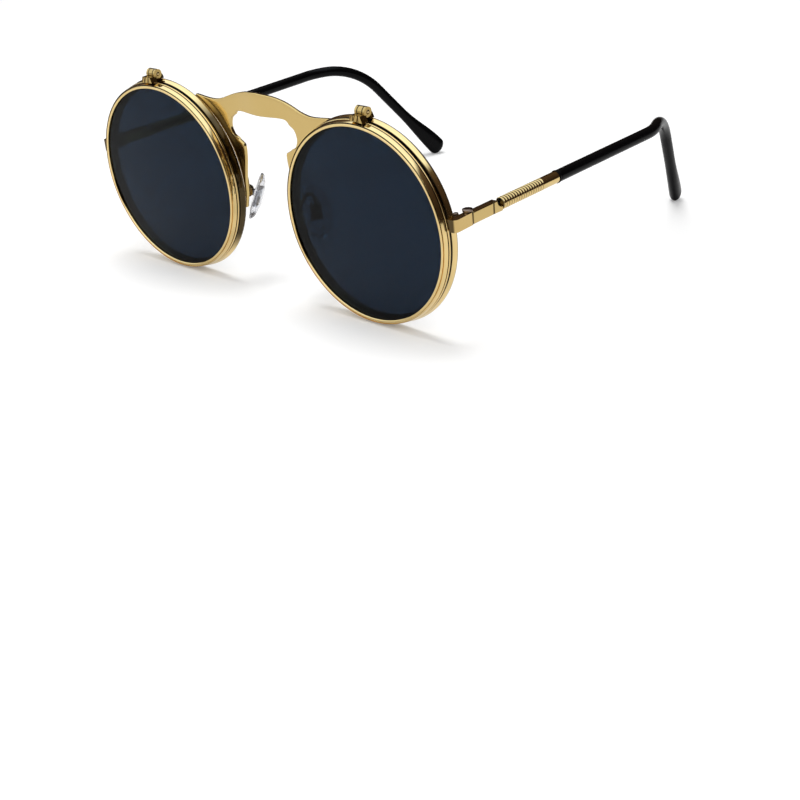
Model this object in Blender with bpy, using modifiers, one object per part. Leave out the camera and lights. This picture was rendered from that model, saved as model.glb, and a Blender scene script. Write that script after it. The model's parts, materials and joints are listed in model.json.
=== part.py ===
# Round flip-up glasses: two rims on a keyhole bridge plate, two hinged dark
# lens rings in front of them, folding temples with ribbed barrels and black
# sleeves, and rocking nose pads on wire arms.
#
# Metres. The front is drawn in its own frame: +X to the wearer's left, +Y
# towards the temples, +Z up the rims, with the origin midway between the two
# lens centres on the rims' front faces. The whole front then leans forward
# until rims and temple tips both stand on the table at z = 0.

import math

import bmesh
import bpy
from mathutils import Matrix, Vector

# Rims and lenses
SIGHT_RADIUS = 0.0235
RIM_WALL = 0.0023
RIM_DEPTH = 0.0017
NOSE_GAP = 0.0190
FLIP_SIGHT_GAIN = 0.0005
FLIP_WALL = 0.0014
FLIP_DEPTH = 0.0019
FLIP_GAP_TOP = 0.00075
FLIP_GAP_BOTTOM = 0.00035
GROOVE_DEPTH = 0.0007
LENS_THICKNESS = 0.0009
LENS_BULGE = 0.0008
RING_EDGE_SHARE = 0.13
RING_LIP_SHARE = 0.34
RING_STEP_SHARE = 0.10

# Bridge plate: shares are of the rim's radius, and of the metal's width from the
# edge that laps behind the rims
PLATE_THICKNESS = 0.0009
PLATE_LAP = 0.0004
PLATE_ARCH = 0.0010
PLATE_CROWN_RISE = 0.0007
PLATE_CROWN_SHARE = 0.223
PLATE_SADDLE_DROP_SHARE = 0.124
PLATE_SADDLE_SHARE = 0.678
PLATE_WING_SHARE = 0.446
PLATE_SHOULDER_SHARE = 0.2016
CROWN_SHARES = ((0.79, 0.15), (0.62, 0.44), (0.45, 0.69), (0.25, 0.90))
LEG_SHARES = ((-0.20, 0.05), (-0.06, 0.13), (0.12, 0.24), (0.33, 0.70), (0.44, 0.97),
              (0.473, 1.02))
LOBE_SHARES = ((0.505, 0.82), (0.535, 0.62), (0.60, 0.67), (0.651, 0.86), (0.713, 1.27),
               (0.756, 1.79))
LOBE_CORNER_SHARE = 0.80

# Flip hinges on top of the rims
FLIP_HINGE_OUTWARD = 0.0015
FLIP_AXIS_STANDOFF = 0.00025
FLIP_AXIS_GAP_SHARE = -0.2
FLIP_KNUCKLE_RADIUS = 0.00125
FLIP_HINGE_WIDTH = 0.0031
FLIP_CENTRE_WIDTH = 0.0014
FLIP_FOOT_WIDTH = 0.0050
FLIP_FOOT_TAPER_SHARE = 0.58
FLIP_FOOT_DEPTH_SHARE = 1.08
FLIP_FOOT_TOP_SHARE = 0.25
FLIP_PIN_RADIUS = 0.00045
FLIP_PIN_PROUD = 0.00012

# End pieces and temple hinges
END_THICKNESS = 0.0019
END_FORWARD = 0.0012
END_BEND_RADIUS = 0.0006
END_HEIGHT_Z = 0.00440
BAR_HEIGHT = 0.0030
BAR_EDGE = 0.00015
HINGE_Y = 0.0053
HINGE_DEPTH = 0.0015
HINGE_KNUCKLE_RADIUS = 0.00115
HINGE_KNUCKLE_HEIGHT = 0.0028
HINGE_CENTRE_HEIGHT = 0.0011
HINGE_SCREW_RADIUS = 0.00050
HINGE_HEAD_RADIUS = 0.00130
HINGE_HEAD_THICKNESS = 0.00060
HINGE_BUTT_GAP = 0.0002

# Rim locks
LOCK_SIZE = 0.0015
LOCK_HEIGHT = 0.0026
LOCK_SPLIT = 0.0003
LOCK_EDGE = 0.00018
LOCK_SCREW_RADIUS = 0.00035
LOCK_HEAD_RADIUS = 0.00065
LOCK_HEAD_THICKNESS = 0.00040
LOCK_SLOT_TURN = math.radians(35)

# Temples, as distances along their path from the hinge axis
TEMPLE_RAKE = math.radians(1.5)
BAR_LENGTH = 0.0110
BAR_SQUARENESS_SHARE = 0.25
BAR_LINE_DISTANCE = 0.0076
BAR_LINE_RADIUS = 0.00015
BAR_SCOOP_RADIUS = 0.0019
BAR_SCOOP_FLOOR_SHARE = -0.2
RIB_COUNT = 16
RIB_PITCH = 0.00093
RIB_DEPTH = 0.00028
RIB_FLANK_SHARE = 0.28
BARREL_RADIUS = 0.00150
BARREL_PLAIN_LENGTH = 0.0066
COLLAR_LENGTH = 0.0008
COLLAR_RADIUS = 0.00164
SLEEVE_RADIUS = 0.00152
SLEEVE_MOUTH_SHARE = 0.93
SLEEVE_STRAIGHT_LENGTH = 0.0387
INWARD_TURN_LENGTH = 0.0070
INWARD_TURN_ANGLE = math.radians(24.3)
EAR_BEND_RADIUS = 0.0230
EAR_BEND_ANGLE = math.radians(50)
TAIL_LENGTH = 0.0318
PADDLE_LENGTH = 0.0200
PADDLE_HALF_HEIGHT = 0.00230
PADDLE_HALF_WIDTH = 0.00175
TIP_ROUNDING = 0.0022
CORE_RADIUS = 0.00065
CORE_INSET = 0.0010
CORE_END_MARGIN = 0.0150

# Nose pads
PAD_HEIGHT = 0.0130
PAD_WIDTH = 0.0076
PAD_DOME = 0.0019
PAD_BACK = 0.0007
PAD_CLEARANCE = 0.0002
PAD_DROP = 0.0008
PAD_NARROWING_SHARE = 0.10
PAD_FRONTAL_TILT = math.radians(18)
PAD_BACK_TILT = math.radians(12.5)
PAD_SPLAY = math.radians(40)
BOX_RIM_REACH = 0.0032
BOX_BEHIND_RIM = 0.0038
BOX_Z = -0.0022
BOX_RADIUS = 0.0013
BOX_LENGTH = 0.0024
BOX_WEB = 0.0005
EYE_THICKNESS = 0.0007
EYE_RADIUS = 0.0008
PAD_SCREW_RADIUS = 0.00035
PAD_HEAD_RADIUS = 0.00085
PAD_HEAD_THICKNESS = 0.00035
INSERT_HEIGHT = 0.0042
INSERT_WIDTH = 0.0029
INSERT_THICKNESS = 0.0005
INSERT_EDGE = 0.00015
ARM_RADIUS = 0.00045
ARM_ROOT_Z = -0.0012
ARM_LOOP_RISE = 0.0036
ARM_ROUTE_SHARES = ((0.14, 0.30), (0.42, 0.66), (0.78, 0.66), (0.97, 0.38))

# Fits
SEAM = 0.0002
RUNNING_FIT = 0.0001
SIDE_PLAY = 0.0001
RELIEF_FIT = 0.00015
CUT_OVERRUN = 0.0005
MERGE = 0.00001
SCREW_SLOT_WIDTH_SHARE = 0.24
SCREW_SLOT_DEPTH_SHARE = 0.5
SCREW_DOME_SHARE = 0.35
SCREW_CROWN_SHARE = 0.6

# Roundness
RING_STEPS = 40
TUBE_SIDES = 10
WIRE_SIDES = 8
PIN_SIDES = 10
KNUCKLE_SIDES = 18
LENS_RADIUS_SHARES = (0.0, 0.6, 1.0)

# Sizes that follow from those above
RIM_OUTER_RADIUS = SIGHT_RADIUS + RIM_WALL
FLIP_SIGHT_RADIUS = SIGHT_RADIUS + FLIP_SIGHT_GAIN
FLIP_OUTER_RADIUS = FLIP_SIGHT_RADIUS + FLIP_WALL
RIM_SEAT_RADIUS = RIM_OUTER_RADIUS + SEAM
EYE_X = RIM_OUTER_RADIUS + NOSE_GAP / 2
PLATE_WING = RIM_OUTER_RADIUS * PLATE_WING_SHARE
PLATE_SHOULDER = RIM_OUTER_RADIUS * PLATE_SHOULDER_SHARE
END_INNER_X = EYE_X + RIM_OUTER_RADIUS
END_OUTER_X = END_INNER_X + END_THICKNESS
END_FRONT_Y = -END_FORWARD
HINGE_X = END_OUTER_X - HINGE_DEPTH
FLIP_AXIS_Z = RIM_OUTER_RADIUS + FLIP_AXIS_STANDOFF + FLIP_KNUCKLE_RADIUS
FLIP_X = EYE_X + FLIP_HINGE_OUTWARD
FLIP_AXIS_Y = -FLIP_GAP_TOP * FLIP_AXIS_GAP_SHARE
BARREL_START = BAR_LENGTH
CORE_START = BARREL_START + CORE_INSET
COLLAR_START = BARREL_START + RIB_COUNT * RIB_PITCH + BARREL_PLAIN_LENGTH
SLEEVE_START = COLLAR_START + COLLAR_LENGTH
INWARD_TURN_START = SLEEVE_START + SLEEVE_STRAIGHT_LENGTH
EAR_BEND_START = INWARD_TURN_START + INWARD_TURN_LENGTH
EAR_BEND_LENGTH = EAR_BEND_RADIUS * EAR_BEND_ANGLE
EAR_BEND_END = EAR_BEND_START + EAR_BEND_LENGTH
TEMPLE_LENGTH = EAR_BEND_END + TAIL_LENGTH
PAD_STANDOFF = BOX_RADIUS + PAD_CLEARANCE + PAD_BACK
BOX_X = NOSE_GAP / 2 + BOX_RIM_REACH
BOX_Y = RIM_DEPTH + BOX_BEHIND_RIM
BOX_SLOT = EYE_THICKNESS + 2 * SIDE_PLAY

SIDES = (("left", 1), ("right", -1))


def clear_scene():
    """Empty the file of objects and collections."""
    for old in list(bpy.data.objects):
        bpy.data.objects.remove(old)
    for old in list(bpy.data.collections):
        bpy.data.collections.remove(old)


def new_collection(name):
    """A collection linked to the scene."""
    made = bpy.data.collections.new(name)
    bpy.context.scene.collection.children.link(made)
    return made


clear_scene()
PARTS = new_collection("flip_up_glasses")
CUTTERS = new_collection("cutters")


def make_material(name, color, roughness, metallic, alpha=1.0):
    """A Principled material with a colour, roughness and metallic value."""
    material = bpy.data.materials.new(name)
    material.use_nodes = True
    shader = material.node_tree.nodes["Principled BSDF"]
    shader.inputs["Base Color"].default_value = (*color, 1.0)
    shader.inputs["Roughness"].default_value = roughness
    shader.inputs["Metallic"].default_value = metallic
    shader.inputs["Alpha"].default_value = alpha
    return material


def gold_plating():
    """Polished pale gold plating of rims, plate and temples."""
    return make_material("gold_plating", (0.72, 0.50, 0.22), 0.15, 1.0)


def screw_steel():
    """Darker steel of the small screws."""
    return make_material("screw_steel", (0.40, 0.33, 0.22), 0.30, 1.0)


def dark_lens_tint():
    """Dark blue-grey lens of the flip rings."""
    return make_material("dark_lens_tint", (0.015, 0.025, 0.040), 0.05, 0.0, 0.9)


def clear_lens_tint():
    """Clear lens of the rims."""
    return make_material("clear_lens_tint", (0.85, 0.90, 0.90), 0.03, 0.0, 0.2)


def black_sleeve_gloss():
    """Glossy black plastic of the temple sleeves."""
    return make_material("black_sleeve_gloss", (0.008, 0.008, 0.009), 0.15, 0.0)


def clear_silicone():
    """Clear soft silicone of the nose pads."""
    return make_material("clear_silicone", (0.90, 0.92, 0.93), 0.25, 0.0, 0.5)


def core_steel():
    """Bare steel wire inside the sleeves."""
    return make_material("core_steel", (0.60, 0.60, 0.60), 0.35, 1.0)


GOLD = gold_plating()
SCREW = screw_steel()
DARK_LENS = dark_lens_tint()
CLEAR_LENS = clear_lens_tint()
BLACK = black_sleeve_gloss()
SILICONE = clear_silicone()
STEEL = core_steel()


def add_empty(name, parent, location, rotation=None):
    """An empty that carries a group of pieces."""
    empty = bpy.data.objects.new(name, None)
    PARTS.objects.link(empty)
    empty.parent = parent
    empty.location = location
    if rotation is not None:
        empty.rotation_euler = rotation.to_euler()
    return empty


def add_object(name, mesh, parent, material=None, location=(0, 0, 0), rotation=None):
    """A mesh object under a parent, as a part with a material or as a cutter."""
    made = bpy.data.objects.new(name, mesh)
    made.parent = parent
    made.location = location
    if rotation is not None:
        made.rotation_euler = rotation.to_euler()
    if material is None:
        CUTTERS.objects.link(made)
        made.hide_render = True
        made.display_type = "WIRE"
    else:
        PARTS.objects.link(made)
        mesh.materials.append(material)
    return made


def smooth(piece):
    """Smooth shading with sharp edges kept."""
    piece.data.shade_smooth()
    piece.data.set_sharp_from_angle(angle=math.radians(35))


def finish_mesh(name, work):
    """Turn a bmesh into a mesh with outward faces."""
    bmesh.ops.recalc_face_normals(work, faces=work.faces)
    mesh = bpy.data.meshes.new(name)
    work.to_mesh(mesh)
    work.free()
    return mesh


def rod_mesh(name, radius, start, end, axis="Z", sides=PIN_SIDES):
    """A cylinder from start to end along one axis."""
    work = bmesh.new()
    bmesh.ops.create_cone(work, cap_ends=True, segments=sides, radius1=radius,
                          radius2=radius, depth=abs(end - start))
    turn = {"X": Matrix.Rotation(math.pi / 2, 4, "Y"),
            "Y": Matrix.Rotation(-math.pi / 2, 4, "X"),
            "Z": Matrix.Identity(4)}[axis]
    direction = {"X": Vector((1, 0, 0)), "Y": Vector((0, 1, 0)), "Z": Vector((0, 0, 1))}[axis]
    middle = Matrix.Translation(direction * (start + end) / 2)
    bmesh.ops.transform(work, matrix=middle @ turn, verts=work.verts)
    return finish_mesh(name, work)


def block_mesh(name, low, high, top_share=1):
    """A box between two corners, its top drawn in along X to a share of its width."""
    work = bmesh.new()
    bmesh.ops.create_cube(work, size=1)
    for vertex in work.verts:
        if vertex.co.z > 0:
            vertex.co.x *= top_share
    size = Vector(high) - Vector(low)
    middle = (Vector(high) + Vector(low)) / 2
    scale = Matrix.Diagonal((*[abs(value) for value in size], 1))
    bmesh.ops.transform(work, matrix=Matrix.Translation(middle) @ scale, verts=work.verts)
    return finish_mesh(name, work)


def loft_mesh(name, rings):
    """A closed skin over a row of rings with equal point counts."""
    work = bmesh.new()
    rows = [[work.verts.new(point) for point in ring] for ring in rings]
    count = len(rows[0])
    for near, far in zip(rows, rows[1:]):
        for index in range(count):
            following = (index + 1) % count
            work.faces.new((near[index], near[following], far[following], far[index]))
    work.faces.new(rows[0])
    work.faces.new(rows[-1])
    return finish_mesh(name, work)


def modify(piece, kind, name, **settings):
    """Add a modifier and its settings."""
    modifier = piece.modifiers.new(name, kind)
    for key, value in settings.items():
        setattr(modifier, key, value)
    return modifier


def soften(piece, width):
    """Bevel the sharp edges of a piece."""
    modify(piece, "BEVEL", "edges", width=width, segments=1, limit_method="ANGLE",
           angle_limit=math.radians(40), use_clamp_overlap=True)


def join(piece, tool):
    """Add a tool's shape to a piece."""
    modify(piece, "BOOLEAN", "join_" + tool.name, operation="UNION", object=tool)


def cut(piece, tool):
    """Take a tool's shape out of a piece."""
    modify(piece, "BOOLEAN", "cut_" + tool.name, operation="DIFFERENCE", object=tool)


def rod_tool(name, parent, radius, start, end, axis, location, sides=KNUCKLE_SIDES):
    """A rod that is joined to a piece or cut out of it."""
    mesh = rod_mesh(name, radius, start, end, axis, sides)
    return add_object(name, mesh, parent, None, location)


def turned(name, profile, parent, material, location, rotation, closed, steps=RING_STEPS):
    """A profile of (radius, height) points turned once about the local Z axis."""
    mesh = bpy.data.meshes.new(name)
    points = [(radius, 0, height) for radius, height in profile]
    edges = [(index, index + 1) for index in range(len(points) - 1)]
    if closed:
        edges.append((len(points) - 1, 0))
    mesh.from_pydata(points, edges, [])
    piece = add_object(name, mesh, parent, material, location, rotation)
    modify(piece, "SCREW", "turn", axis="Z", angle=math.tau, steps=steps, render_steps=steps,
           use_merge_vertices=True, merge_threshold=MERGE, use_smooth_shade=True)
    return piece


# Local Z of a turned ring or lens points to the wearer.
FACING_BACK = Matrix.Rotation(-math.pi / 2, 4, "X")


def ring_profile(sight, outer, depth, step_at_front):
    """Section of a rim wire: bevelled back, stepped inner lip, groove for the lens."""
    edge = depth * RING_EDGE_SHARE
    lip = (outer - sight) * RING_LIP_SHARE
    step = depth * RING_STEP_SHARE
    middle = depth / 2
    groove = LENS_THICKNESS / 2 + RUNNING_FIT
    floor = sight + GROOVE_DEPTH
    points = [
        (outer - edge, -middle),
        (outer, -middle + edge),
        (outer, middle - edge),
        (outer - edge, middle),
        (sight + lip + step, middle),
        (sight + lip, middle - step),
        (sight, middle - step),
        (sight, groove),
        (floor, groove),
        (floor, -groove),
        (sight, -groove),
        (sight, -middle),
    ]
    if step_at_front:
        return [(radius, middle - height) for radius, height in points]
    return [(radius, middle + height) for radius, height in reversed(points)]


def lens_profile(sight):
    """Section of a thin bulged lens whose edge sits in the rim's groove."""
    edge_radius = sight + GROOVE_DEPTH - RUNNING_FIT
    sphere = (edge_radius ** 2 + LENS_BULGE ** 2) / (2 * LENS_BULGE)

    def sag(radius):
        return math.sqrt(sphere ** 2 - radius ** 2) - (sphere - LENS_BULGE)

    radii = [edge_radius * share for share in LENS_RADIUS_SHARES]
    back = [(radius, LENS_THICKNESS / 2 - sag(radius)) for radius in radii]
    front = [(radius, -LENS_THICKNESS / 2 - sag(radius)) for radius in reversed(radii)]
    return back + front


def build_rim(front, word, side):
    """One fixed rim, slit at its lock."""
    profile = ring_profile(SIGHT_RADIUS, RIM_OUTER_RADIUS, RIM_DEPTH, False)
    rim = turned("rim_" + word, profile, front, GOLD, (side * EYE_X, 0, 0), FACING_BACK, True)
    low = (side * SIGHT_RADIUS / 2, -CUT_OVERRUN, END_HEIGHT_Z - LOCK_SPLIT / 2)
    high = (side * (RIM_OUTER_RADIUS + CUT_OVERRUN), RIM_DEPTH + CUT_OVERRUN,
            END_HEIGHT_Z + LOCK_SPLIT / 2)
    mesh = block_mesh("rim_slit_" + word, low, high)
    cut(rim, add_object("rim_slit_" + word, mesh, front, None, (side * EYE_X, 0, 0)))


def build_clear_lens(front, word, side):
    """The clear lens in one fixed rim."""
    turned("clear_lens_" + word, lens_profile(SIGHT_RADIUS), front, CLEAR_LENS,
           (side * EYE_X, RIM_DEPTH / 2, 0), FACING_BACK, False)


def smooth_through(points, steps):
    """Points on a Catmull-Rom curve through the given points."""
    ends = [2 * points[0] - points[1]] + list(points) + [2 * points[-1] - points[-2]]
    out = [points[0]]
    for index in range(1, len(ends) - 2):
        before, start, end, after = ends[index - 1:index + 3]
        for step in range(1, steps + 1):
            t = step / steps
            out.append(((2 * start) + (end - before) * t
                        + (2 * before - 5 * start + 4 * end - after) * t ** 2
                        + (3 * start - before - 3 * end + after) * t ** 3) / 2)
    return out


def spread(points, count):
    """Evenly spaced points along a polyline."""
    lengths = [0.0]
    for near, far in zip(points, points[1:]):
        lengths.append(lengths[-1] + (far - near).length)
    out = []
    for index in range(count):
        wanted = lengths[-1] * index / (count - 1)
        span = max(k for k in range(len(points) - 1) if lengths[k] <= wanted or k == 0)
        share = (wanted - lengths[span]) / (lengths[span + 1] - lengths[span])
        out.append(points[span].lerp(points[span + 1], share))
    return out


def lap_edge_x(height):
    """Where the plate's edge that laps behind the left rim lies at a height."""
    return EYE_X - math.sqrt((RIM_OUTER_RADIUS - PLATE_LAP) ** 2 - height ** 2)


def inner_place(height_share, width_share):
    """A point of the plate's inner edge from its height and metal width shares."""
    height = RIM_OUTER_RADIUS * height_share
    return Vector((lap_edge_x(height) - PLATE_SHOULDER * width_share, height))


def plate_inner_edge():
    """Inner edge of half the plate: leg, notch corner, keyhole lobe, crown."""
    leg = smooth_through([inner_place(*shares) for shares in LEG_SHARES], 4)
    top = RIM_OUTER_RADIUS * (1 - PLATE_CROWN_SHARE) + PLATE_CROWN_RISE
    lobe_side = [inner_place(*shares) for shares in LOBE_SHARES]
    corner = Vector((lobe_side[-1].x * LOBE_CORNER_SHARE, top))
    lobe = smooth_through([leg[-1], *lobe_side, corner, Vector((0, top))], 4)
    return leg, lobe


def plate_outer_edge(wing_start):
    """Outer edge of half the plate above a height: along the rim to the wing, the crown."""
    lap = RIM_OUTER_RADIUS - PLATE_LAP
    low = math.pi - math.asin(wing_start / lap)
    high = math.acos(-PLATE_WING / lap)
    steps = 12
    arc = [Vector((EYE_X + lap * math.cos(low + (high - low) * index / steps),
                   lap * math.sin(low + (high - low) * index / steps)))
           for index in range(steps + 1)]
    wing_height = math.sqrt(RIM_OUTER_RADIUS ** 2 - PLATE_WING ** 2)
    crown = RIM_OUTER_RADIUS + PLATE_CROWN_RISE
    saddle = Vector((EYE_X - RIM_OUTER_RADIUS * PLATE_SADDLE_SHARE,
                     RIM_OUTER_RADIUS * (1 - PLATE_SADDLE_DROP_SHARE)))
    rise = crown - saddle.y
    crown_points = [Vector((saddle.x * across, saddle.y + rise * up))
                    for across, up in CROWN_SHARES]
    top = smooth_through([Vector((EYE_X - PLATE_WING, wing_height)), saddle,
                          *crown_points, Vector((0, crown))], 3)
    return arc, top


def build_bridge_plate(front):
    """The keyhole plate brazed behind both rims, arched forward in the middle."""
    leg, lobe = plate_inner_edge()
    arc, top = plate_outer_edge(lobe[0].y)
    leg_count, wing_count, crown_count = 8, 7, 12
    leg_points = spread(leg, leg_count + 1)[:-1]
    inner = leg_points + spread(lobe, wing_count + crown_count)
    outer = ([Vector((lap_edge_x(point.y), point.y)) for point in leg_points]
             + spread(arc, wing_count) + spread(top, crown_count + 1)[1:])
    across = 2
    work = bmesh.new()
    rows = []
    arch_reach = NOSE_GAP / 2
    for near, far in zip(inner, outer):
        row = []
        for index in range(across + 1):
            place = near.lerp(far, index / across)
            lift = math.cos(min(place.x / arch_reach, 1) * math.pi / 2) ** 2
            row.append(work.verts.new((place.x, -PLATE_ARCH * lift, place.y)))
        rows.append(row)
    for near, far in zip(rows, rows[1:]):
        for index in range(across):
            work.faces.new((near[index], near[index + 1], far[index + 1], far[index]))
    work.normal_update()
    for face in work.faces:
        if face.normal.y > 0:
            face.normal_flip()
    mesh = bpy.data.meshes.new("bridge_plate")
    work.to_mesh(mesh)
    work.free()
    plate = add_object("bridge_plate", mesh, front, GOLD, (0, RIM_DEPTH + SEAM, 0))
    modify(plate, "MIRROR", "other_half", use_axis=(True, False, False), use_clip=True,
           merge_threshold=MERGE)
    modify(plate, "SOLIDIFY", "sheet", thickness=PLATE_THICKNESS, offset=-1)


def ring_seat_tool(name, parent, radius, low, high, location):
    """A disc the size of a ring's seat, that hollows what stands on the ring."""
    mesh = rod_mesh(name, radius, low, high, "Y", RING_STEPS * 2)
    return add_object(name, mesh, parent, None, location)


def slotted_screw(name, parent, location, rotation, shank, head, thickness, length):
    """A screw along local Z: a shank, a domed head and a driver slot."""
    dome = thickness * SCREW_DOME_SHARE
    profile = [(0, thickness), (head * SCREW_CROWN_SHARE, thickness - dome / 4),
               (head, thickness - dome), (head, 0), (shank, 0), (shank, -length), (0, -length)]
    screw = turned(name, profile, parent, SCREW, location, rotation, False, PIN_SIDES)
    width = head * SCREW_SLOT_WIDTH_SHARE
    depth = thickness * SCREW_SLOT_DEPTH_SHARE
    mesh = block_mesh(name + "_slot", (-head - CUT_OVERRUN, -width / 2, thickness - depth),
                      (head + CUT_OVERRUN, width / 2, thickness + CUT_OVERRUN))
    cut(screw, add_object(name + "_slot", mesh, parent, None, location, rotation))


def build_rim_hinge_leaf(front, word, side):
    """The fixed half of a flip hinge: a foot on the rim and the middle knuckle."""
    name = "rim_hinge_leaf_" + word
    axis = (side * FLIP_X, FLIP_AXIS_Y, FLIP_AXIS_Z)
    half = FLIP_HINGE_WIDTH / 2
    middle = FLIP_CENTRE_WIDTH / 2
    foot_half = FLIP_FOOT_WIDTH / 2
    foot_top = FLIP_AXIS_Z - FLIP_KNUCKLE_RADIUS * FLIP_FOOT_TOP_SHARE
    foot_base = RIM_OUTER_RADIUS - FLIP_KNUCKLE_RADIUS
    mesh = block_mesh(name, (-foot_half, RUNNING_FIT, foot_base),
                      (foot_half, RIM_DEPTH, foot_top), FLIP_FOOT_TAPER_SHARE)
    leaf = add_object(name, mesh, front, GOLD, (side * FLIP_X, 0, 0))
    cut(leaf, ring_seat_tool(name + "_seat", front, RIM_SEAT_RADIUS, -CUT_OVERRUN,
                             RIM_DEPTH + CUT_OVERRUN, (side * EYE_X, 0, 0)))
    join(leaf, rod_tool(name + "_barrel", front, FLIP_KNUCKLE_RADIUS, -half, half, "X", axis))
    relief = FLIP_KNUCKLE_RADIUS + RELIEF_FIT
    for number, end in enumerate((-1, 1)):
        cut(leaf, rod_tool("%s_relief_%d" % (name, number), front, relief, end * middle,
                           end * (half + CUT_OVERRUN), "X", axis))
    cut(leaf, rod_tool(name + "_bore", front, FLIP_PIN_RADIUS + RUNNING_FIT, -half, half,
                       "X", axis, PIN_SIDES))
    smooth(leaf)


def build_flip_leaf(pivot, word, side, ring_front):
    """The moving half of a flip hinge: a foot on the flip ring and two end knuckles."""
    name = "flip_hinge_leaf_" + word
    half = FLIP_HINGE_WIDTH / 2
    middle = FLIP_CENTRE_WIDTH / 2
    foot_half = FLIP_FOOT_WIDTH / 2
    foot_back = ring_front + FLIP_DEPTH * FLIP_FOOT_DEPTH_SHARE
    foot_top = -FLIP_KNUCKLE_RADIUS * FLIP_FOOT_TOP_SHARE
    foot_base = FLIP_OUTER_RADIUS - FLIP_KNUCKLE_RADIUS - FLIP_AXIS_Z
    mesh = block_mesh(name, (-foot_half, ring_front, foot_base),
                      (foot_half, foot_back, foot_top), FLIP_FOOT_TAPER_SHARE)
    leaf = add_object(name, mesh, pivot, GOLD)
    cut(leaf, ring_seat_tool(name + "_seat", pivot, FLIP_OUTER_RADIUS + SEAM,
                             ring_front - CUT_OVERRUN, foot_back + CUT_OVERRUN,
                             (-side * FLIP_HINGE_OUTWARD, 0, -FLIP_AXIS_Z)))
    join(leaf, rod_tool(name + "_barrel", pivot, FLIP_KNUCKLE_RADIUS, -half, half, "X",
                        (0, 0, 0)))
    cut(leaf, rod_tool(name + "_relief", pivot, FLIP_KNUCKLE_RADIUS + RELIEF_FIT,
                       -middle - SIDE_PLAY, middle + SIDE_PLAY, "X", (0, 0, 0)))
    cut(leaf, rod_tool(name + "_bore", pivot, FLIP_PIN_RADIUS + RUNNING_FIT,
                       -half - CUT_OVERRUN, half + CUT_OVERRUN, "X", (0, 0, 0), PIN_SIDES))
    smooth(leaf)


def build_flip_pin(pivot, word):
    """The pin through the knuckles of a flip hinge, its ends chamfered and proud."""
    reach = FLIP_HINGE_WIDTH / 2 + FLIP_PIN_PROUD
    tip = FLIP_PIN_RADIUS - FLIP_PIN_PROUD
    profile = [(0, reach), (tip, reach), (FLIP_PIN_RADIUS, reach - FLIP_PIN_PROUD),
               (FLIP_PIN_RADIUS, FLIP_PIN_PROUD - reach), (tip, -reach), (0, -reach)]
    turned("flip_hinge_pin_" + word, profile, pivot, SCREW, (0, 0, 0),
           Matrix.Rotation(math.pi / 2, 4, "Y"), False, PIN_SIDES)


def build_flip_side(front, word, side):
    """One flip ring with its dark lens, its hinge leaf and its hinge pin."""
    settle = math.asin((FLIP_GAP_TOP - FLIP_GAP_BOTTOM) / (2 * FLIP_OUTER_RADIUS))
    pivot = add_empty("flip_pivot_" + word, front, (side * FLIP_X, FLIP_AXIS_Y, FLIP_AXIS_Z),
                      Matrix.Rotation(settle, 4, "X"))
    ring_front = -FLIP_GAP_TOP - FLIP_DEPTH - FLIP_AXIS_Y
    centre_x = -side * FLIP_HINGE_OUTWARD
    profile = ring_profile(FLIP_SIGHT_RADIUS, FLIP_OUTER_RADIUS, FLIP_DEPTH, True)
    turned("flip_rim_" + word, profile, pivot, GOLD, (centre_x, ring_front, -FLIP_AXIS_Z),
           FACING_BACK, True)
    turned("dark_lens_" + word, lens_profile(FLIP_SIGHT_RADIUS), pivot, DARK_LENS,
           (centre_x, ring_front + FLIP_DEPTH / 2, -FLIP_AXIS_Z), FACING_BACK, False)
    build_flip_leaf(pivot, word, side, ring_front)
    build_flip_pin(pivot, word)


def corner_outline(side):
    """Plan of an end piece: a bar bent round a corner, as 2D points."""
    root = END_INNER_X - END_THICKNESS
    back = HINGE_Y - HINGE_BUTT_GAP / 2
    steps = 3
    points = [(root, END_FRONT_Y)]
    for index in range(steps + 1):
        angle = -math.pi / 2 + math.pi / 2 * index / steps
        points.append((END_OUTER_X - END_BEND_RADIUS + END_BEND_RADIUS * math.cos(angle),
                       END_FRONT_Y + END_BEND_RADIUS + END_BEND_RADIUS * math.sin(angle)))
    points += [(END_OUTER_X, back), (END_INNER_X, back),
               (END_INNER_X, END_FRONT_Y + END_THICKNESS), (root, END_FRONT_Y + END_THICKNESS)]
    return [(side * x, y) for x, y in points]


def extruded_outline(name, points, thickness):
    """A flat curve filled and extruded to a thickness, made a mesh."""
    curve = bpy.data.curves.new(name, "CURVE")
    curve.dimensions = "2D"
    curve.fill_mode = "BOTH"
    curve.extrude = thickness / 2
    spline = curve.splines.new("POLY")
    spline.points.add(len(points) - 1)
    for place, (x, y) in zip(spline.points, points):
        place.co = (x, y, 0, 1)
    spline.use_cyclic_u = True
    return curve_to_mesh(name, curve)


def curve_to_mesh(name, curve):
    """Evaluate a curve once and weld its caps."""
    guide = bpy.data.objects.new(name + "_guide", curve)
    CUTTERS.objects.link(guide)
    bpy.context.view_layer.update()
    mesh = bpy.data.meshes.new_from_object(guide.evaluated_get(
        bpy.context.evaluated_depsgraph_get()))
    bpy.data.objects.remove(guide)
    work = bmesh.new()
    work.from_mesh(mesh)
    bmesh.ops.remove_doubles(work, verts=work.verts, dist=MERGE)
    bpy.data.meshes.remove(mesh)
    return finish_mesh(name, work)


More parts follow.
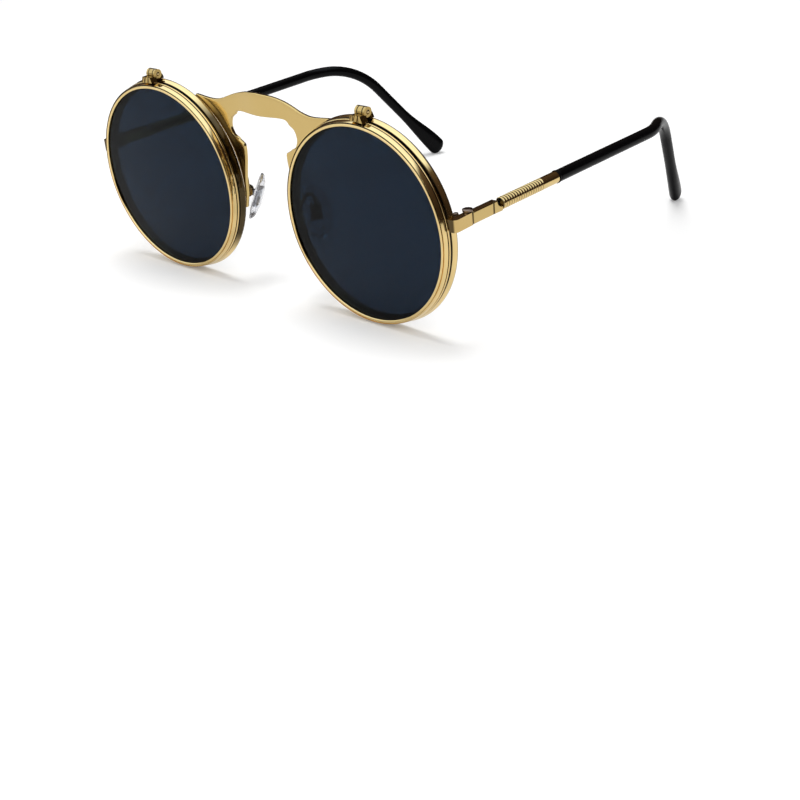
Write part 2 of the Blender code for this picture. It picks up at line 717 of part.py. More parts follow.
def build_end_piece(front, word, side):
    """The bent corner bar with the two outer knuckles of the temple hinge."""
    name = "end_piece_" + word
    mesh = extruded_outline(name, corner_outline(side), BAR_HEIGHT)
    piece = add_object(name, mesh, front, GOLD, (0, 0, END_HEIGHT_Z))
    soften(piece, BAR_EDGE)
    cut(piece, ring_seat_tool(name + "_seat", front, RIM_OUTER_RADIUS + RUNNING_FIT,
                              END_FRONT_Y - CUT_OVERRUN, RIM_DEPTH + CUT_OVERRUN,
                              (side * EYE_X, 0, 0)))
    axis = (side * HINGE_X, HINGE_Y, END_HEIGHT_Z)
    half = HINGE_KNUCKLE_HEIGHT / 2
    room = HINGE_CENTRE_HEIGHT / 2 + SIDE_PLAY
    join(piece, rod_tool(name + "_barrel", front, HINGE_KNUCKLE_RADIUS, -half, half, "Z", axis))
    cut(piece, rod_tool(name + "_relief", front, HINGE_KNUCKLE_RADIUS + RELIEF_FIT,
                        -room, room, "Z", axis))
    cut(piece, rod_tool(name + "_bore", front, HINGE_SCREW_RADIUS + RUNNING_FIT,
                        -half - CUT_OVERRUN, half + CUT_OVERRUN, "Z", axis, PIN_SIDES))
    smooth(piece)


def build_temple_screw(front, word, side):
    """The screw that is a temple hinge's pin, put in from above."""
    top = END_HEIGHT_Z + BAR_HEIGHT / 2 + SIDE_PLAY
    slotted_screw("temple_hinge_screw_" + word, front, (side * HINGE_X, HINGE_Y, top),
                  Matrix.Identity(4), HINGE_SCREW_RADIUS, HINGE_HEAD_RADIUS,
                  HINGE_HEAD_THICKNESS, BAR_HEIGHT + SIDE_PLAY)


def build_rim_lock(front, word, side):
    """The two lock halves behind the rim's slit and the screw that closes them."""
    far = END_INNER_X - SEAM
    half = LOCK_HEIGHT / 2
    middle = LOCK_SIZE / 2
    centre = (side * (far - middle), RIM_DEPTH + SEAM + middle, END_HEIGHT_Z)
    spans = {"upper": (LOCK_SPLIT / 2, half), "lower": (-half, -LOCK_SPLIT / 2)}
    for level, (low, high) in spans.items():
        name = "rim_lock_%s_%s" % (level, word)
        mesh = block_mesh(name, (-middle, -middle, low), (middle, middle, high))
        lock = add_object(name, mesh, front, GOLD, centre)
        soften(lock, LOCK_EDGE)
        cut(lock, rod_tool(name + "_bore", front, LOCK_SCREW_RADIUS + RUNNING_FIT,
                           -half - CUT_OVERRUN, half + CUT_OVERRUN, "Z", centre, PIN_SIDES))
    slotted_screw("rim_lock_screw_" + word, front,
                  (centre[0], centre[1], END_HEIGHT_Z + half + SIDE_PLAY),
                  Matrix.Rotation(LOCK_SLOT_TURN, 4, "Z"), LOCK_SCREW_RADIUS,
                  LOCK_HEAD_RADIUS, LOCK_HEAD_THICKNESS, LOCK_HEIGHT)


def heading(distance):
    """Pitch down and yaw inward of a temple's path at a distance from the hinge."""
    bend_share = min(max((distance - EAR_BEND_START) / EAR_BEND_LENGTH, 0), 1)
    turn_share = min(max((distance - INWARD_TURN_START) / INWARD_TURN_LENGTH, 0), 1)
    return (TEMPLE_RAKE + EAR_BEND_ANGLE * bend_share,
            INWARD_TURN_ANGLE * turn_share)


def path_frame(distance, side):
    """Direction, sideways and upward unit vectors of a temple's path."""
    pitch, yaw = heading(distance)
    along = Vector((-math.sin(yaw) * math.cos(pitch), math.cos(yaw) * math.cos(pitch),
                    -math.sin(pitch)))
    across = Vector((math.cos(yaw), math.sin(yaw), 0))
    upward = across.cross(along)
    mirror = Vector((side, 1, 1))
    return tuple(vector * mirror for vector in (along, across, upward))


def temple_path(stations, side):
    """Places on the centre line at rising distances, by summing short steps."""
    step_count = 40
    place = Vector((side * (HINGE_DEPTH - END_THICKNESS / 2), 0, 0))
    travelled = 0.0
    places = []
    for station in stations:
        stretch = (station - travelled) / step_count
        for index in range(step_count):
            along = path_frame(travelled + stretch * (index + 1 / 2), side)[0]
            place = place + along * stretch
        travelled = station
        places.append(place.copy())
    return places


def superellipse(half_wide, half_high, squareness, sides):
    """Points round a section between an ellipse and a rectangle."""
    points = []
    for index in range(sides):
        angle = math.tau * (index + 1 / 2) / sides
        cosine, sine = math.cos(angle), math.sin(angle)
        points.append((half_wide * math.copysign(abs(cosine) ** squareness, cosine),
                       half_high * math.copysign(abs(sine) ** squareness, sine)))
    return points


def path_loft(name, sections, side, sides):
    """A skin along the temple's path; sections are (distance, wide, high, squareness)."""
    places = temple_path([section[0] for section in sections], side)
    rings = []
    for place, (distance, half_wide, half_high, squareness) in zip(places, sections):
        across, upward = path_frame(distance, side)[1:]
        rings.append([place + across * x + upward * z
                      for x, z in superellipse(half_wide, half_high, squareness, sides)])
    return loft_mesh(name, rings)


def round_sections(stations, radius):
    """Sections of one round size at the given distances."""
    return [(station, radius, radius, 1.0) for station in stations]


def build_temple_bar(hinge, word, side):
    """The flat bar behind the hinge, scooped on top where it meets the round barrel."""
    name = "temple_bar_" + word
    half_wide = END_THICKNESS / 2
    half_high = BAR_HEIGHT / 2
    end = BARREL_START - SEAM
    sections = [(HINGE_BUTT_GAP / 2, half_wide, half_high, BAR_SQUARENESS_SHARE),
                (end, half_wide, half_high, BAR_SQUARENESS_SHARE)]
    bar = add_object(name, path_loft(name, sections, side, KNUCKLE_SIDES), hinge, GOLD)
    half = HINGE_KNUCKLE_HEIGHT / 2
    middle = HINGE_CENTRE_HEIGHT / 2
    join(bar, rod_tool(name + "_barrel", hinge, HINGE_KNUCKLE_RADIUS, -half, half, "Z",
                       (0, 0, 0)))
    for number, way in enumerate((-1, 1)):
        cut(bar, rod_tool("%s_relief_%d" % (name, number), hinge,
                          HINGE_KNUCKLE_RADIUS + RELIEF_FIT, way * middle,
                          way * (half_high + CUT_OVERRUN), "Z", (0, 0, 0)))
    cut(bar, rod_tool(name + "_bore", hinge, HINGE_SCREW_RADIUS + RUNNING_FIT, -half_high,
                      half_high, "Z", (0, 0, 0), PIN_SIDES))
    place, below = temple_path([end, end + CUT_OVERRUN], side)
    floor = half_high * BAR_SCOOP_FLOOR_SHARE
    cut(bar, rod_tool(name + "_scoop", hinge, BAR_SCOOP_RADIUS, -END_THICKNESS, END_THICKNESS,
                      "X", (place.x, below.y, below.z + floor + BAR_SCOOP_RADIUS),
                      KNUCKLE_SIDES))
    cut(bar, rod_tool(name + "_line", hinge, BAR_LINE_RADIUS, -BAR_HEIGHT, BAR_HEIGHT, "Z",
                      (side * HINGE_DEPTH, BAR_LINE_DISTANCE, 0), WIRE_SIDES))
    smooth(bar)


def build_barrel(hinge, word, side):
    """The ribbed barrel: rounded ribs, then a plain length bored for the core wire."""
    name = "ribbed_barrel_" + word
    root = BARREL_RADIUS - RIB_DEPTH
    flank = RIB_PITCH * RIB_FLANK_SHARE
    sections = []
    for index in range(RIB_COUNT):
        start = BARREL_START + index * RIB_PITCH
        sections += round_sections((start,), root)
        sections += round_sections((start + flank, start + RIB_PITCH - flank), BARREL_RADIUS)
    ribs_end = BARREL_START + RIB_COUNT * RIB_PITCH
    sections += round_sections((ribs_end,), root)
    sections += round_sections((ribs_end + flank, COLLAR_START - SEAM), BARREL_RADIUS)
    barrel = add_object(name, path_loft(name, sections, side, TUBE_SIDES), hinge, GOLD)
    bore = round_sections((CORE_START - SEAM, COLLAR_START + CUT_OVERRUN),
                          CORE_RADIUS + RUNNING_FIT)
    cut(barrel, add_object(name + "_bore", path_loft(name + "_bore", bore, side, WIRE_SIDES),
                           hinge, None))
    smooth(barrel)


def build_collar(hinge, word, side):
    """The narrow black ring moulded at the sleeve's mouth."""
    name = "sleeve_collar_" + word
    edge = COLLAR_RADIUS - BARREL_RADIUS
    end = SLEEVE_START - SEAM
    sections = (round_sections((COLLAR_START,), BARREL_RADIUS)
                + round_sections((COLLAR_START + edge, end), COLLAR_RADIUS))
    collar = add_object(name, path_loft(name, sections, side, TUBE_SIDES), hinge, BLACK)
    bore = round_sections((COLLAR_START - CUT_OVERRUN, end + CUT_OVERRUN),
                          CORE_RADIUS + RUNNING_FIT)
    cut(collar, add_object(name + "_bore", path_loft(name + "_bore", bore, side, WIRE_SIDES),
                           hinge, None))
    smooth(collar)


def sleeve_half_sizes(distance):
    """Half width and half height of the sleeve, growing into the tip's paddle."""
    start = TEMPLE_LENGTH - PADDLE_LENGTH
    share = min(max((distance - start) / (PADDLE_LENGTH - TIP_ROUNDING), 0), 1)
    swell = (1 - math.cos(math.pi * share)) / 2
    return (SLEEVE_RADIUS + (PADDLE_HALF_WIDTH - SLEEVE_RADIUS) * swell,
            SLEEVE_RADIUS + (PADDLE_HALF_HEIGHT - SLEEVE_RADIUS) * swell)


def stretch_stations(start, end, count):
    """Evenly spaced distances after start, up to and with end."""
    return [start + (end - start) * (index + 1) / count for index in range(count)]


def wire_stations(end):
    """Distances along the path for what follows it from the sleeve's mouth."""
    return ([SLEEVE_START - CUT_OVERRUN, INWARD_TURN_START]
            + stretch_stations(INWARD_TURN_START, EAR_BEND_START, 3)
            + stretch_stations(EAR_BEND_START, EAR_BEND_END, 6) + [end])


def build_sleeve(hinge, word, side):
    """The black sleeve over the core wire, with a rounded paddle at its end."""
    name = "temple_sleeve_" + word
    body_end = TEMPLE_LENGTH - TIP_ROUNDING
    mouth = SLEEVE_RADIUS * SLEEVE_MOUTH_SHARE
    rounding = SLEEVE_RADIUS - mouth
    sections = [(SLEEVE_START, mouth, mouth, 1.0)]
    stations = ([SLEEVE_START + rounding]
                + stretch_stations(SLEEVE_START + rounding, INWARD_TURN_START, 2)
                + stretch_stations(INWARD_TURN_START, EAR_BEND_START, 3)
                + stretch_stations(EAR_BEND_START, EAR_BEND_END, 6)
                + stretch_stations(EAR_BEND_END, body_end, 6))
    sections += [(station, *sleeve_half_sizes(station), 1.0) for station in stations]
    wide, high = sleeve_half_sizes(TEMPLE_LENGTH)
    rounds = 4
    for index in range(1, rounds):
        angle = math.pi / 2 * index / rounds
        sections.append((body_end + TIP_ROUNDING * math.sin(angle),
                         wide * math.cos(angle), high * math.cos(angle), 1.0))
    sleeve = add_object(name, path_loft(name, sections, side, TUBE_SIDES), hinge, BLACK)
    bore = round_sections(wire_stations(TEMPLE_LENGTH - CORE_END_MARGIN + SEAM),
                          CORE_RADIUS + RUNNING_FIT)
    cut(sleeve, add_object(name + "_bore", path_loft(name + "_bore", bore, side, WIRE_SIDES),
                           hinge, None))
    smooth(sleeve)


def build_core_wire(hinge, word, side):
    """The steel wire inside barrel and sleeve."""
    name = "core_wire_" + word
    wire = round_sections([CORE_START] + wire_stations(TEMPLE_LENGTH - CORE_END_MARGIN),
                          CORE_RADIUS)
    core = add_object(name, path_loft(name, wire, side, WIRE_SIDES), hinge, STEEL)
    smooth(core)


def build_temple(front, word, side):
    """One temple, carried on an empty that stands on its hinge axis."""
    hinge = add_empty("temple_pivot_" + word, front, (side * HINGE_X, HINGE_Y, END_HEIGHT_Z))
    build_temple_bar(hinge, word, side)
    build_barrel(hinge, word, side)
    build_collar(hinge, word, side)
    build_sleeve(hinge, word, side)
    build_core_wire(hinge, word, side)


def pad_rotation(side):
    """Turn of a pad: local X faces the nose, local Z runs up the pad."""
    face_nose = Matrix.Rotation(math.pi, 4, "Z") if side == 1 else Matrix.Identity(4)
    splay = Matrix.Rotation(-side * PAD_SPLAY, 4, "Z")
    frontal = Matrix.Rotation(-side * PAD_FRONTAL_TILT, 4, "Y")
    backward = Matrix.Rotation(-PAD_BACK_TILT, 4, "X")
    return backward @ frontal @ splay @ face_nose


def build_pad_box(seat, word):
    """The round box on the arm's end, slotted for the pad's eye."""
    name = "pad_box_" + word
    half = BOX_LENGTH / 2
    box = add_object(name, rod_mesh(name, BOX_RADIUS, -half, half, "Y", PIN_SIDES + 4), seat, GOLD)
    mesh = block_mesh(name + "_slot",
                      (-BOX_RADIUS + BOX_WEB, -BOX_SLOT / 2, -BOX_RADIUS - CUT_OVERRUN),
                      (BOX_RADIUS + CUT_OVERRUN, BOX_SLOT / 2, BOX_RADIUS + CUT_OVERRUN))
    cut(box, add_object(name + "_slot", mesh, seat, None))
    cut(box, rod_tool(name + "_bore", seat, PAD_SCREW_RADIUS + RUNNING_FIT,
                      -half - CUT_OVERRUN, half + CUT_OVERRUN, "Y", (0, 0, 0), PIN_SIDES))
    smooth(box)
    slotted_screw("pad_screw_" + word, seat, (0, half + SIDE_PLAY, 0),
                  Matrix.Rotation(-math.pi / 2, 4, "X"), PAD_SCREW_RADIUS, PAD_HEAD_RADIUS,
                  PAD_HEAD_THICKNESS, BOX_LENGTH + SIDE_PLAY)


def build_pad_arm(front, word, side):
    """The wire arm looping from the plate's leg to the top of the box."""
    name = "pad_arm_" + word
    leg_back = RIM_DEPTH + SEAM + PLATE_THICKNESS
    root = Vector((side * lap_edge_x(ARM_ROOT_Z), leg_back + SEAM + ARM_RADIUS / 2, ARM_ROOT_Z))
    box_top = Vector((side * BOX_X, BOX_Y, BOX_Z + BOX_RADIUS + SEAM))
    across = box_top - root
    rise = Vector((0, 0, ARM_LOOP_RISE))
    bends = [root + across * along + rise * up for along, up in ARM_ROUTE_SHARES]
    curve = bpy.data.curves.new(name, "CURVE")
    curve.dimensions = "3D"
    curve.bevel_depth = ARM_RADIUS
    curve.bevel_resolution = 2
    curve.use_fill_caps = True
    route = smooth_through([root, *bends, box_top], 2)
    spline = curve.splines.new("POLY")
    spline.points.add(len(route) - 1)
    for place, point in zip(spline.points, route):
        place.co = (*point, 1)
    arm = add_object(name, curve_to_mesh(name, curve), front, GOLD)
    smooth(arm)


def build_pad_insert(pivot, word):
    """The metal plate moulded into the pad, with the eye that the screw holds."""
    name = "pad_insert_" + word
    plate_back = PAD_STANDOFF - PAD_BACK + SEAM
    plate_front = plate_back + INSERT_THICKNESS
    mesh = block_mesh(name, (plate_back, -INSERT_WIDTH / 2, -PAD_DROP - INSERT_HEIGHT / 2),
                      (plate_front, INSERT_WIDTH / 2, -PAD_DROP + INSERT_HEIGHT / 2))
    insert = add_object(name, mesh, pivot, SCREW)
    soften(insert, INSERT_EDGE)
    tongue = block_mesh(name + "_tongue", (0, -EYE_THICKNESS / 2, -EYE_RADIUS),
                        ((plate_back + plate_front) / 2, EYE_THICKNESS / 2, EYE_RADIUS))
    join(insert, add_object(name + "_tongue", tongue, pivot, None))
    join(insert, rod_tool(name + "_eye", pivot, EYE_RADIUS + MERGE, -EYE_THICKNESS / 2 - MERGE,
                          EYE_THICKNESS / 2 + MERGE, "Y", (0, 0, 0), PIN_SIDES + 4))
    cut(insert, rod_tool(name + "_bore", pivot, PAD_SCREW_RADIUS + RUNNING_FIT,
                         -EYE_THICKNESS, EYE_THICKNESS, "Y", (0, 0, 0), PIN_SIDES))
    smooth(insert)


def build_pad(pivot, word):
    """The clear silicone pad: a domed oval with a pocket for its insert."""
    name = "nose_pad_" + word
    work = bmesh.new()
    bmesh.ops.create_uvsphere(work, u_segments=16, v_segments=10, radius=1)
    for vertex in work.verts:
        depth = PAD_DOME if vertex.co.x > 0 else PAD_BACK
        narrow = 1 - PAD_NARROWING_SHARE * vertex.co.z
        vertex.co = Vector((PAD_STANDOFF + vertex.co.x * depth,
                            vertex.co.y * PAD_WIDTH / 2 * narrow,
                            -PAD_DROP + vertex.co.z * PAD_HEIGHT / 2))
    pad = add_object(name, finish_mesh(name, work), pivot, SILICONE)
    floor = PAD_STANDOFF - PAD_BACK + INSERT_THICKNESS + 2 * SEAM
    mesh = block_mesh(name + "_pocket",
                      (0, -INSERT_WIDTH / 2 - SEAM, -PAD_DROP - INSERT_HEIGHT / 2 - SEAM),
                      (floor, INSERT_WIDTH / 2 + SEAM, -PAD_DROP + INSERT_HEIGHT / 2 + SEAM))
    cut(pad, add_object(name + "_pocket", mesh, pivot, None))
    smooth(pad)


def build_nose_pad(front, word, side):
    """One nose pad with its arm, box, screw, insert and soft pad."""
    seat = add_empty("pad_seat_" + word, front, (side * BOX_X, BOX_Y, BOX_Z),
                     pad_rotation(side))
    pivot = add_empty("pad_pivot_" + word, seat, (0, 0, 0))
    build_pad_arm(front, word, side)
    build_pad_box(seat, word)
    build_pad_insert(pivot, word)
    build_pad(pivot, word)


def lean_angle():
    """Forward lean at which rims and temple tips touch the table together."""
    tip = temple_path([TEMPLE_LENGTH - TIP_ROUNDING], 1)[0]
    drop = END_HEIGHT_Z + tip.z + RIM_OUTER_RADIUS
    run = HINGE_Y + tip.y
    return math.asin(PADDLE_HALF_HEIGHT / math.hypot(drop, run)) - math.atan2(drop, run)


def stand_on_table(root):
    """Lower the glasses to z = 0 and centre their outline on the origin."""
    bpy.context.view_layer.update()
    depsgraph = bpy.context.evaluated_depsgraph_get()
    corners = []
    for piece in PARTS.objects:
        if piece.type != "MESH":
            continue
        shape = piece.evaluated_get(depsgraph)
        mesh = shape.to_mesh()
        corners += [shape.matrix_world @ vertex.co for vertex in mesh.vertices]
        shape.to_mesh_clear()
    low = Vector(min(corner[axis] for corner in corners) for axis in range(3))
    high = Vector(max(corner[axis] for corner in corners) for axis in range(3))
    root.location = (-(low.x + high.x) / 2, -(low.y + high.y) / 2, -low.z)
    bpy.context.view_layer.update()


def build_glasses():
    """Put the whole pair together."""
    root = add_empty("glasses_root", None, (0, 0, 0))
    front = add_empty("front_frame", root, (0, 0, 0), Matrix.Rotation(lean_angle(), 4, "X"))
    build_bridge_plate(front)
    for word, side in SIDES:
        build_rim(front, word, side)
        build_clear_lens(front, word, side)
        build_rim_hinge_leaf(front, word, side)
        build_flip_side(front, word, side)
        build_end_piece(front, word, side)
        build_temple_screw(front, word, side)
        build_rim_lock(front, word, side)
        build_temple(front, word, side)
        build_nose_pad(front, word, side)
    stand_on_table(root)


build_glasses()
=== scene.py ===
# Round flip-up glasses, standing open on a pale table as in the photograph:
# gold rims on a keyhole bridge plate, dark lens rings hinged in front of them,
# ribbed temples with black sleeves, and clear nose pads on wire arms.

import json
import math

import bmesh
import bpy
import numpy as np
from mathutils import Matrix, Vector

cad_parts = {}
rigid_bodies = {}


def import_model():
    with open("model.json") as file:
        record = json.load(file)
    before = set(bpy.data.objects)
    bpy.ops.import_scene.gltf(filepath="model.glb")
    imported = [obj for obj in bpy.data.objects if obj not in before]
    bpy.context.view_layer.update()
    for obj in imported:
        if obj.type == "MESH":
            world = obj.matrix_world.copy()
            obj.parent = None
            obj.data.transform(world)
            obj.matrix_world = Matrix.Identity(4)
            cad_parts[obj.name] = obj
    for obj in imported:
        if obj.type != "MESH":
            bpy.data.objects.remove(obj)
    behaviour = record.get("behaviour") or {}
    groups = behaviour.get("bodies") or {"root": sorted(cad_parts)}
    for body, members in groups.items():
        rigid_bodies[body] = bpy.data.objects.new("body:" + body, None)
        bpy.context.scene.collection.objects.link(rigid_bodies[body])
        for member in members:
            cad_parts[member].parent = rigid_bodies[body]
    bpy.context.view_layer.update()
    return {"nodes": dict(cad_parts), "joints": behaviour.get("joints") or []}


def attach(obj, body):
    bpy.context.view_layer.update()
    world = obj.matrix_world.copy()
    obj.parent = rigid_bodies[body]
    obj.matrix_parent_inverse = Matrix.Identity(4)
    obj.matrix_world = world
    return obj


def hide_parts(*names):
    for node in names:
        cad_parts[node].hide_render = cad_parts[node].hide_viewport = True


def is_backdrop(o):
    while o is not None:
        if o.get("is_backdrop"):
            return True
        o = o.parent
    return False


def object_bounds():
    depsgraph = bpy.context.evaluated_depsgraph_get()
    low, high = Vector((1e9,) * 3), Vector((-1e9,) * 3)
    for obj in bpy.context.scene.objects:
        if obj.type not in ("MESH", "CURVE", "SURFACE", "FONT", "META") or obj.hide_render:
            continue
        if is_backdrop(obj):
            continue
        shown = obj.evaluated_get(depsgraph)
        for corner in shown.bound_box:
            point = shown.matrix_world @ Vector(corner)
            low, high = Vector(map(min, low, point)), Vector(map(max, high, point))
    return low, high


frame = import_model()


# The front as one plane. The rims, plate and end pieces are soldered flat and
# lean forward together on the table; the two temple screws stand square to
# that plane, so their axes give its directions and its middle.
screw_back = 0.0053
screw_above = 0.0044
left_fold, right_fold = (next(joint for joint in frame["joints"] if joint["name"] == name)
                         for name in ("temple_fold_left", "temple_fold_right"))
up = np.array(left_fold["axis"]) / np.linalg.norm(left_fold["axis"])
back = np.array([0.0, up[2], -up[1]])
across = np.array([1.0, 0.0, 0.0])
front_middle = ((np.array(left_fold["pos_m"]) + np.array(right_fold["pos_m"])) / 2
                - back * screw_back - up * screw_above)
plane_axes = np.stack([across, back, up])


def on_front(points):
    """Places given as (across, behind, above) the front's middle, carried into the room."""
    return np.array(points) @ plane_axes + front_middle


# The photograph's viewpoint: above and to the wearer's left of the front, with
# a long lens and a slight roll, aimed so that the picture's lower half stays
# empty table.
camera_place = on_front([0.26738, -0.23519, 0.12649])
camera_right = np.array([0.746983, 0.659020, -0.087801]) @ plane_axes
camera_up = -np.array([0.252037, -0.402901, -0.879857]) @ plane_axes


def stand(thing, right, upward, backward, place):
    """Put a camera or a lamp at a place, turned by its own three directions."""
    matrix = np.eye(4)
    matrix[:3] = np.stack([right, upward, backward, place], 1)
    thing.matrix_world = Matrix(matrix.tolist())
    bpy.context.scene.collection.objects.link(thing)


camera = bpy.data.objects.new("camera", bpy.data.cameras.new("camera"))
camera.data.sensor_width = 36.0
camera.data.lens = 66.86
camera.data.clip_start = 0.01
camera.data.clip_end = 20.0
stand(camera, camera_right, camera_up, np.cross(camera_right, camera_up), camera_place)
bpy.context.scene.camera = camera
bpy.context.scene.view_settings.view_transform = "Standard"


# The table and the studio: a large white sheet under the glasses, one broad
# soft lamp overhead, a weak fill, and a white surround. In polished metal the
# surround shows as a bright panel above the camera and a dark room behind.
table_radius = 1.6
table_sides = 96
white = (1, 1, 1, 1)


def full_turn(count):
    """Evenly spaced angles round a full turn, the end left out."""
    return np.linspace(0, 2 * np.pi, count, endpoint=False)


ring = full_turn(table_sides)
table_mesh = bpy.data.meshes.new("table")
table_mesh.from_pydata(
    np.c_[np.cos(ring) * table_radius, np.sin(ring) * table_radius, ring * 0].tolist(),
    [], [list(range(table_sides))])
table = bpy.data.objects.new("table", table_mesh)
bpy.context.scene.collection.objects.link(table)
table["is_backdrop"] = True


def set_sockets(node, values):
    """Set a node's sockets by name, an underscore standing for a space."""
    for socket, value in values.items():
        node.inputs[socket.replace("_", " ")].default_value = value
    return node


def add_node(tree, kind, operation=None, **values):
    """A new shader node of a kind, with its operation and sockets set."""
    node = tree.nodes.new("ShaderNode" + kind)
    if operation:
        node.operation = operation
    return set_sockets(node, values)


def wire_nodes(tree, *links):
    """Join sockets named as (from node, output, to node, input)."""
    for source, output, target, entry in links:
        tree.links.new(source.outputs[output], target.inputs[entry])


# White paper that the camera sees at full white with the shadows kept.
white_table = bpy.data.materials.new("white_table")
white_table.use_nodes = True
tree = white_table.node_tree
tree.nodes.clear()
output = add_node(tree, "OutputMaterial")
paper = add_node(tree, "BsdfDiffuse", Color=(0.86, 0.86, 0.86, 1))
glow = add_node(tree, "Emission", Color=white, Strength=0.17)
sight = add_node(tree, "LightPath")
lit = add_node(tree, "AddShader")
pick = add_node(tree, "MixShader")
wire_nodes(tree, (paper, 0, lit, 0), (glow, 0, lit, 1), (paper, 0, pick, 1),
           (lit, 0, pick, 2), (sight, "Is Camera Ray", pick, 0), (pick, 0, output, 0))
table_mesh.materials.append(white_table)

world = bpy.data.worlds.new("studio")
bpy.context.scene.world = world
world.use_nodes = True
sky = world.node_tree
sky.nodes.clear()
sky_out = add_node(sky, "OutputWorld")
plain = add_node(sky, "Background", Color=white, Strength=1.0)
soft = add_node(sky, "Background", Color=white, Strength=0.55)
mirrored = add_node(sky, "Background", Strength=1.75)
direction = add_node(sky, "TexCoord")
facing = add_node(sky, "VectorMath", "DOT_PRODUCT")
facing.inputs[1].default_value = (-0.22, -0.42, 0.88)
spread = add_node(sky, "MapRange", From_Min=-1, From_Max=1)
ramp = add_node(sky, "ValToRGB")
shades = ramp.color_ramp
shades.interpolation = "EASE"
shades.elements[0].position = 0.40
shades.elements[0].color = (0.018, 0.012, 0.009, 1)
shades.elements[1].position = 0.90
shades.elements[1].color = (0.80, 0.88, 1.0, 1)
for position, colour in ((0.60, (0.033, 0.022, 0.017)), (0.70, (0.062, 0.046, 0.035)),
                         (0.78, (0.76, 0.83, 0.94))):
    shades.elements.new(position).color = (*colour, 1)
sight = add_node(sky, "LightPath")
seen = add_node(sky, "Math", "MAXIMUM")
first = add_node(sky, "MixShader")
second = add_node(sky, "MixShader")
wire_nodes(sky, (direction, "Generated", facing, 0), (facing, "Value", spread, 0),
           (spread, 0, ramp, 0), (ramp, 0, mirrored, 0), (sight, "Is Camera Ray", seen, 0),
           (sight, "Is Transmission Ray", seen, 1), (seen, 0, first, 0), (soft, 0, first, 1),
           (plain, 0, first, 2), (sight, "Is Glossy Ray", second, 0), (first, 0, second, 1),
           (mirrored, 0, second, 2), (second, 0, sky_out, 0))


def soft_lamp(name, place, aim, size, watts):
    """A square area lamp at a place, turned towards a point."""
    lamp = bpy.data.objects.new(name, bpy.data.lights.new(name, "AREA"))
    lamp.data.size = size
    lamp.data.energy = watts
    lamp.visible_glossy = False
    away = np.array(place, float) - np.array(aim, float)
    away /= np.linalg.norm(away)
    side = np.cross([0.0, 1.0, 0.01], away)
    side /= np.linalg.norm(side)
    stand(lamp, side, np.cross(away, side), away, place)


soft_lamp("overhead", (-0.11, -0.01, 0.88), (0, 0, 0), 0.40, 4.4)
soft_lamp("fill", (0.55, -0.45, 0.60), (0, 0, 0.02), 0.40, 1.1)


# The rims: drawn brass wire, rolled to a grooved section, ring-formed, brazed
# and plated pale gold. The outer wall slopes out to a low bead at the back, and
# the inner lip is stepped where the clear lens snaps in from behind.
eye_across = 0.0353
sight_radius = 0.0235
rim_wall = 0.0023
rim_depth = 0.0017
groove_depth = 0.0007
groove_half = 0.00055
rim_outer = sight_radius + rim_wall
ring_steps = 256
fillet_steps = 5
both_sides = (("left", 1), ("right", -1))


def lengths(vectors):
    """The length of each row of an array, as a column."""
    return np.linalg.norm(vectors, axis=1, keepdims=True)


def filleted(corners, cuts, steps=fillet_steps):
    """A closed outline with each corner replaced by a quadratic curve that starts and
    ends at the given distance from it: (1-t)^2 A + 2t(1-t) P + t^2 B."""
    corners = np.asarray(corners, float)
    cuts = np.asarray(cuts, float)[:, None]
    before = np.roll(corners, 1, axis=0) - corners
    after = np.roll(corners, -1, axis=0) - corners
    start = corners + before / lengths(before) * cuts
    end = corners + after / lengths(after) * cuts
    t = np.linspace(0, 1, steps)[None, :, None]
    curve = ((1 - t) ** 2 * start[:, None] + 2 * t * (1 - t) * corners[:, None]
             + t ** 2 * end[:, None])
    return curve.reshape(-1, 2)


def turned_ring(section, centre_x, lift=0.0):
    """A section of (radius, depth) carried round an eye's axis: x = c + r sin a,
    z = lift + r cos a for angles a round the full turn."""
    angle = full_turn(ring_steps)[:, None]
    radius, depth = section[None, :, 0], section[None, :, 1]
    return np.stack([centre_x + radius * np.sin(angle), depth + angle * 0,
                     lift + radius * np.cos(angle)], axis=-1)


def quad_faces(grid, around=True, closed=False, caps=True):
    """Faces over a grid of places (rows, columns): around joins the last column to the
    first, closed joins the last row to the first, and caps give each open end a face."""
    rows, columns = grid.shape[:2]
    index = np.arange(rows * columns).reshape(rows, columns)
    low = index if closed else index[:-1]
    high = np.roll(index, -1, axis=0) if closed else index[1:]
    if around:
        quads = np.stack([low, np.roll(low, -1, 1), np.roll(high, -1, 1), high], -1)
    else:
        quads = np.stack([low[:, :-1], low[:, 1:], high[:, 1:], high[:, :-1]], -1)
    ends = [index[0].tolist(), index[-1].tolist()] if caps and not closed else []
    return quads.reshape(-1, 4).tolist() + ends


def mesh_from(points, faces, name="form"):
    """A mesh from plain points and faces."""
    mesh = bpy.data.meshes.new(name)
    mesh.from_pydata(np.asarray(points, float).reshape(-1, 3).tolist(), [], faces)
    return mesh


def outward(mesh, doubled):
    """Merge points that lie closer than a distance and turn the faces outward."""
    work = bmesh.new()
    work.from_mesh(mesh)
    bmesh.ops.remove_doubles(work, verts=work.verts, dist=doubled)
    bmesh.ops.recalc_face_normals(work, faces=work.faces)
    work.to_mesh(mesh)
    work.free()
    return mesh


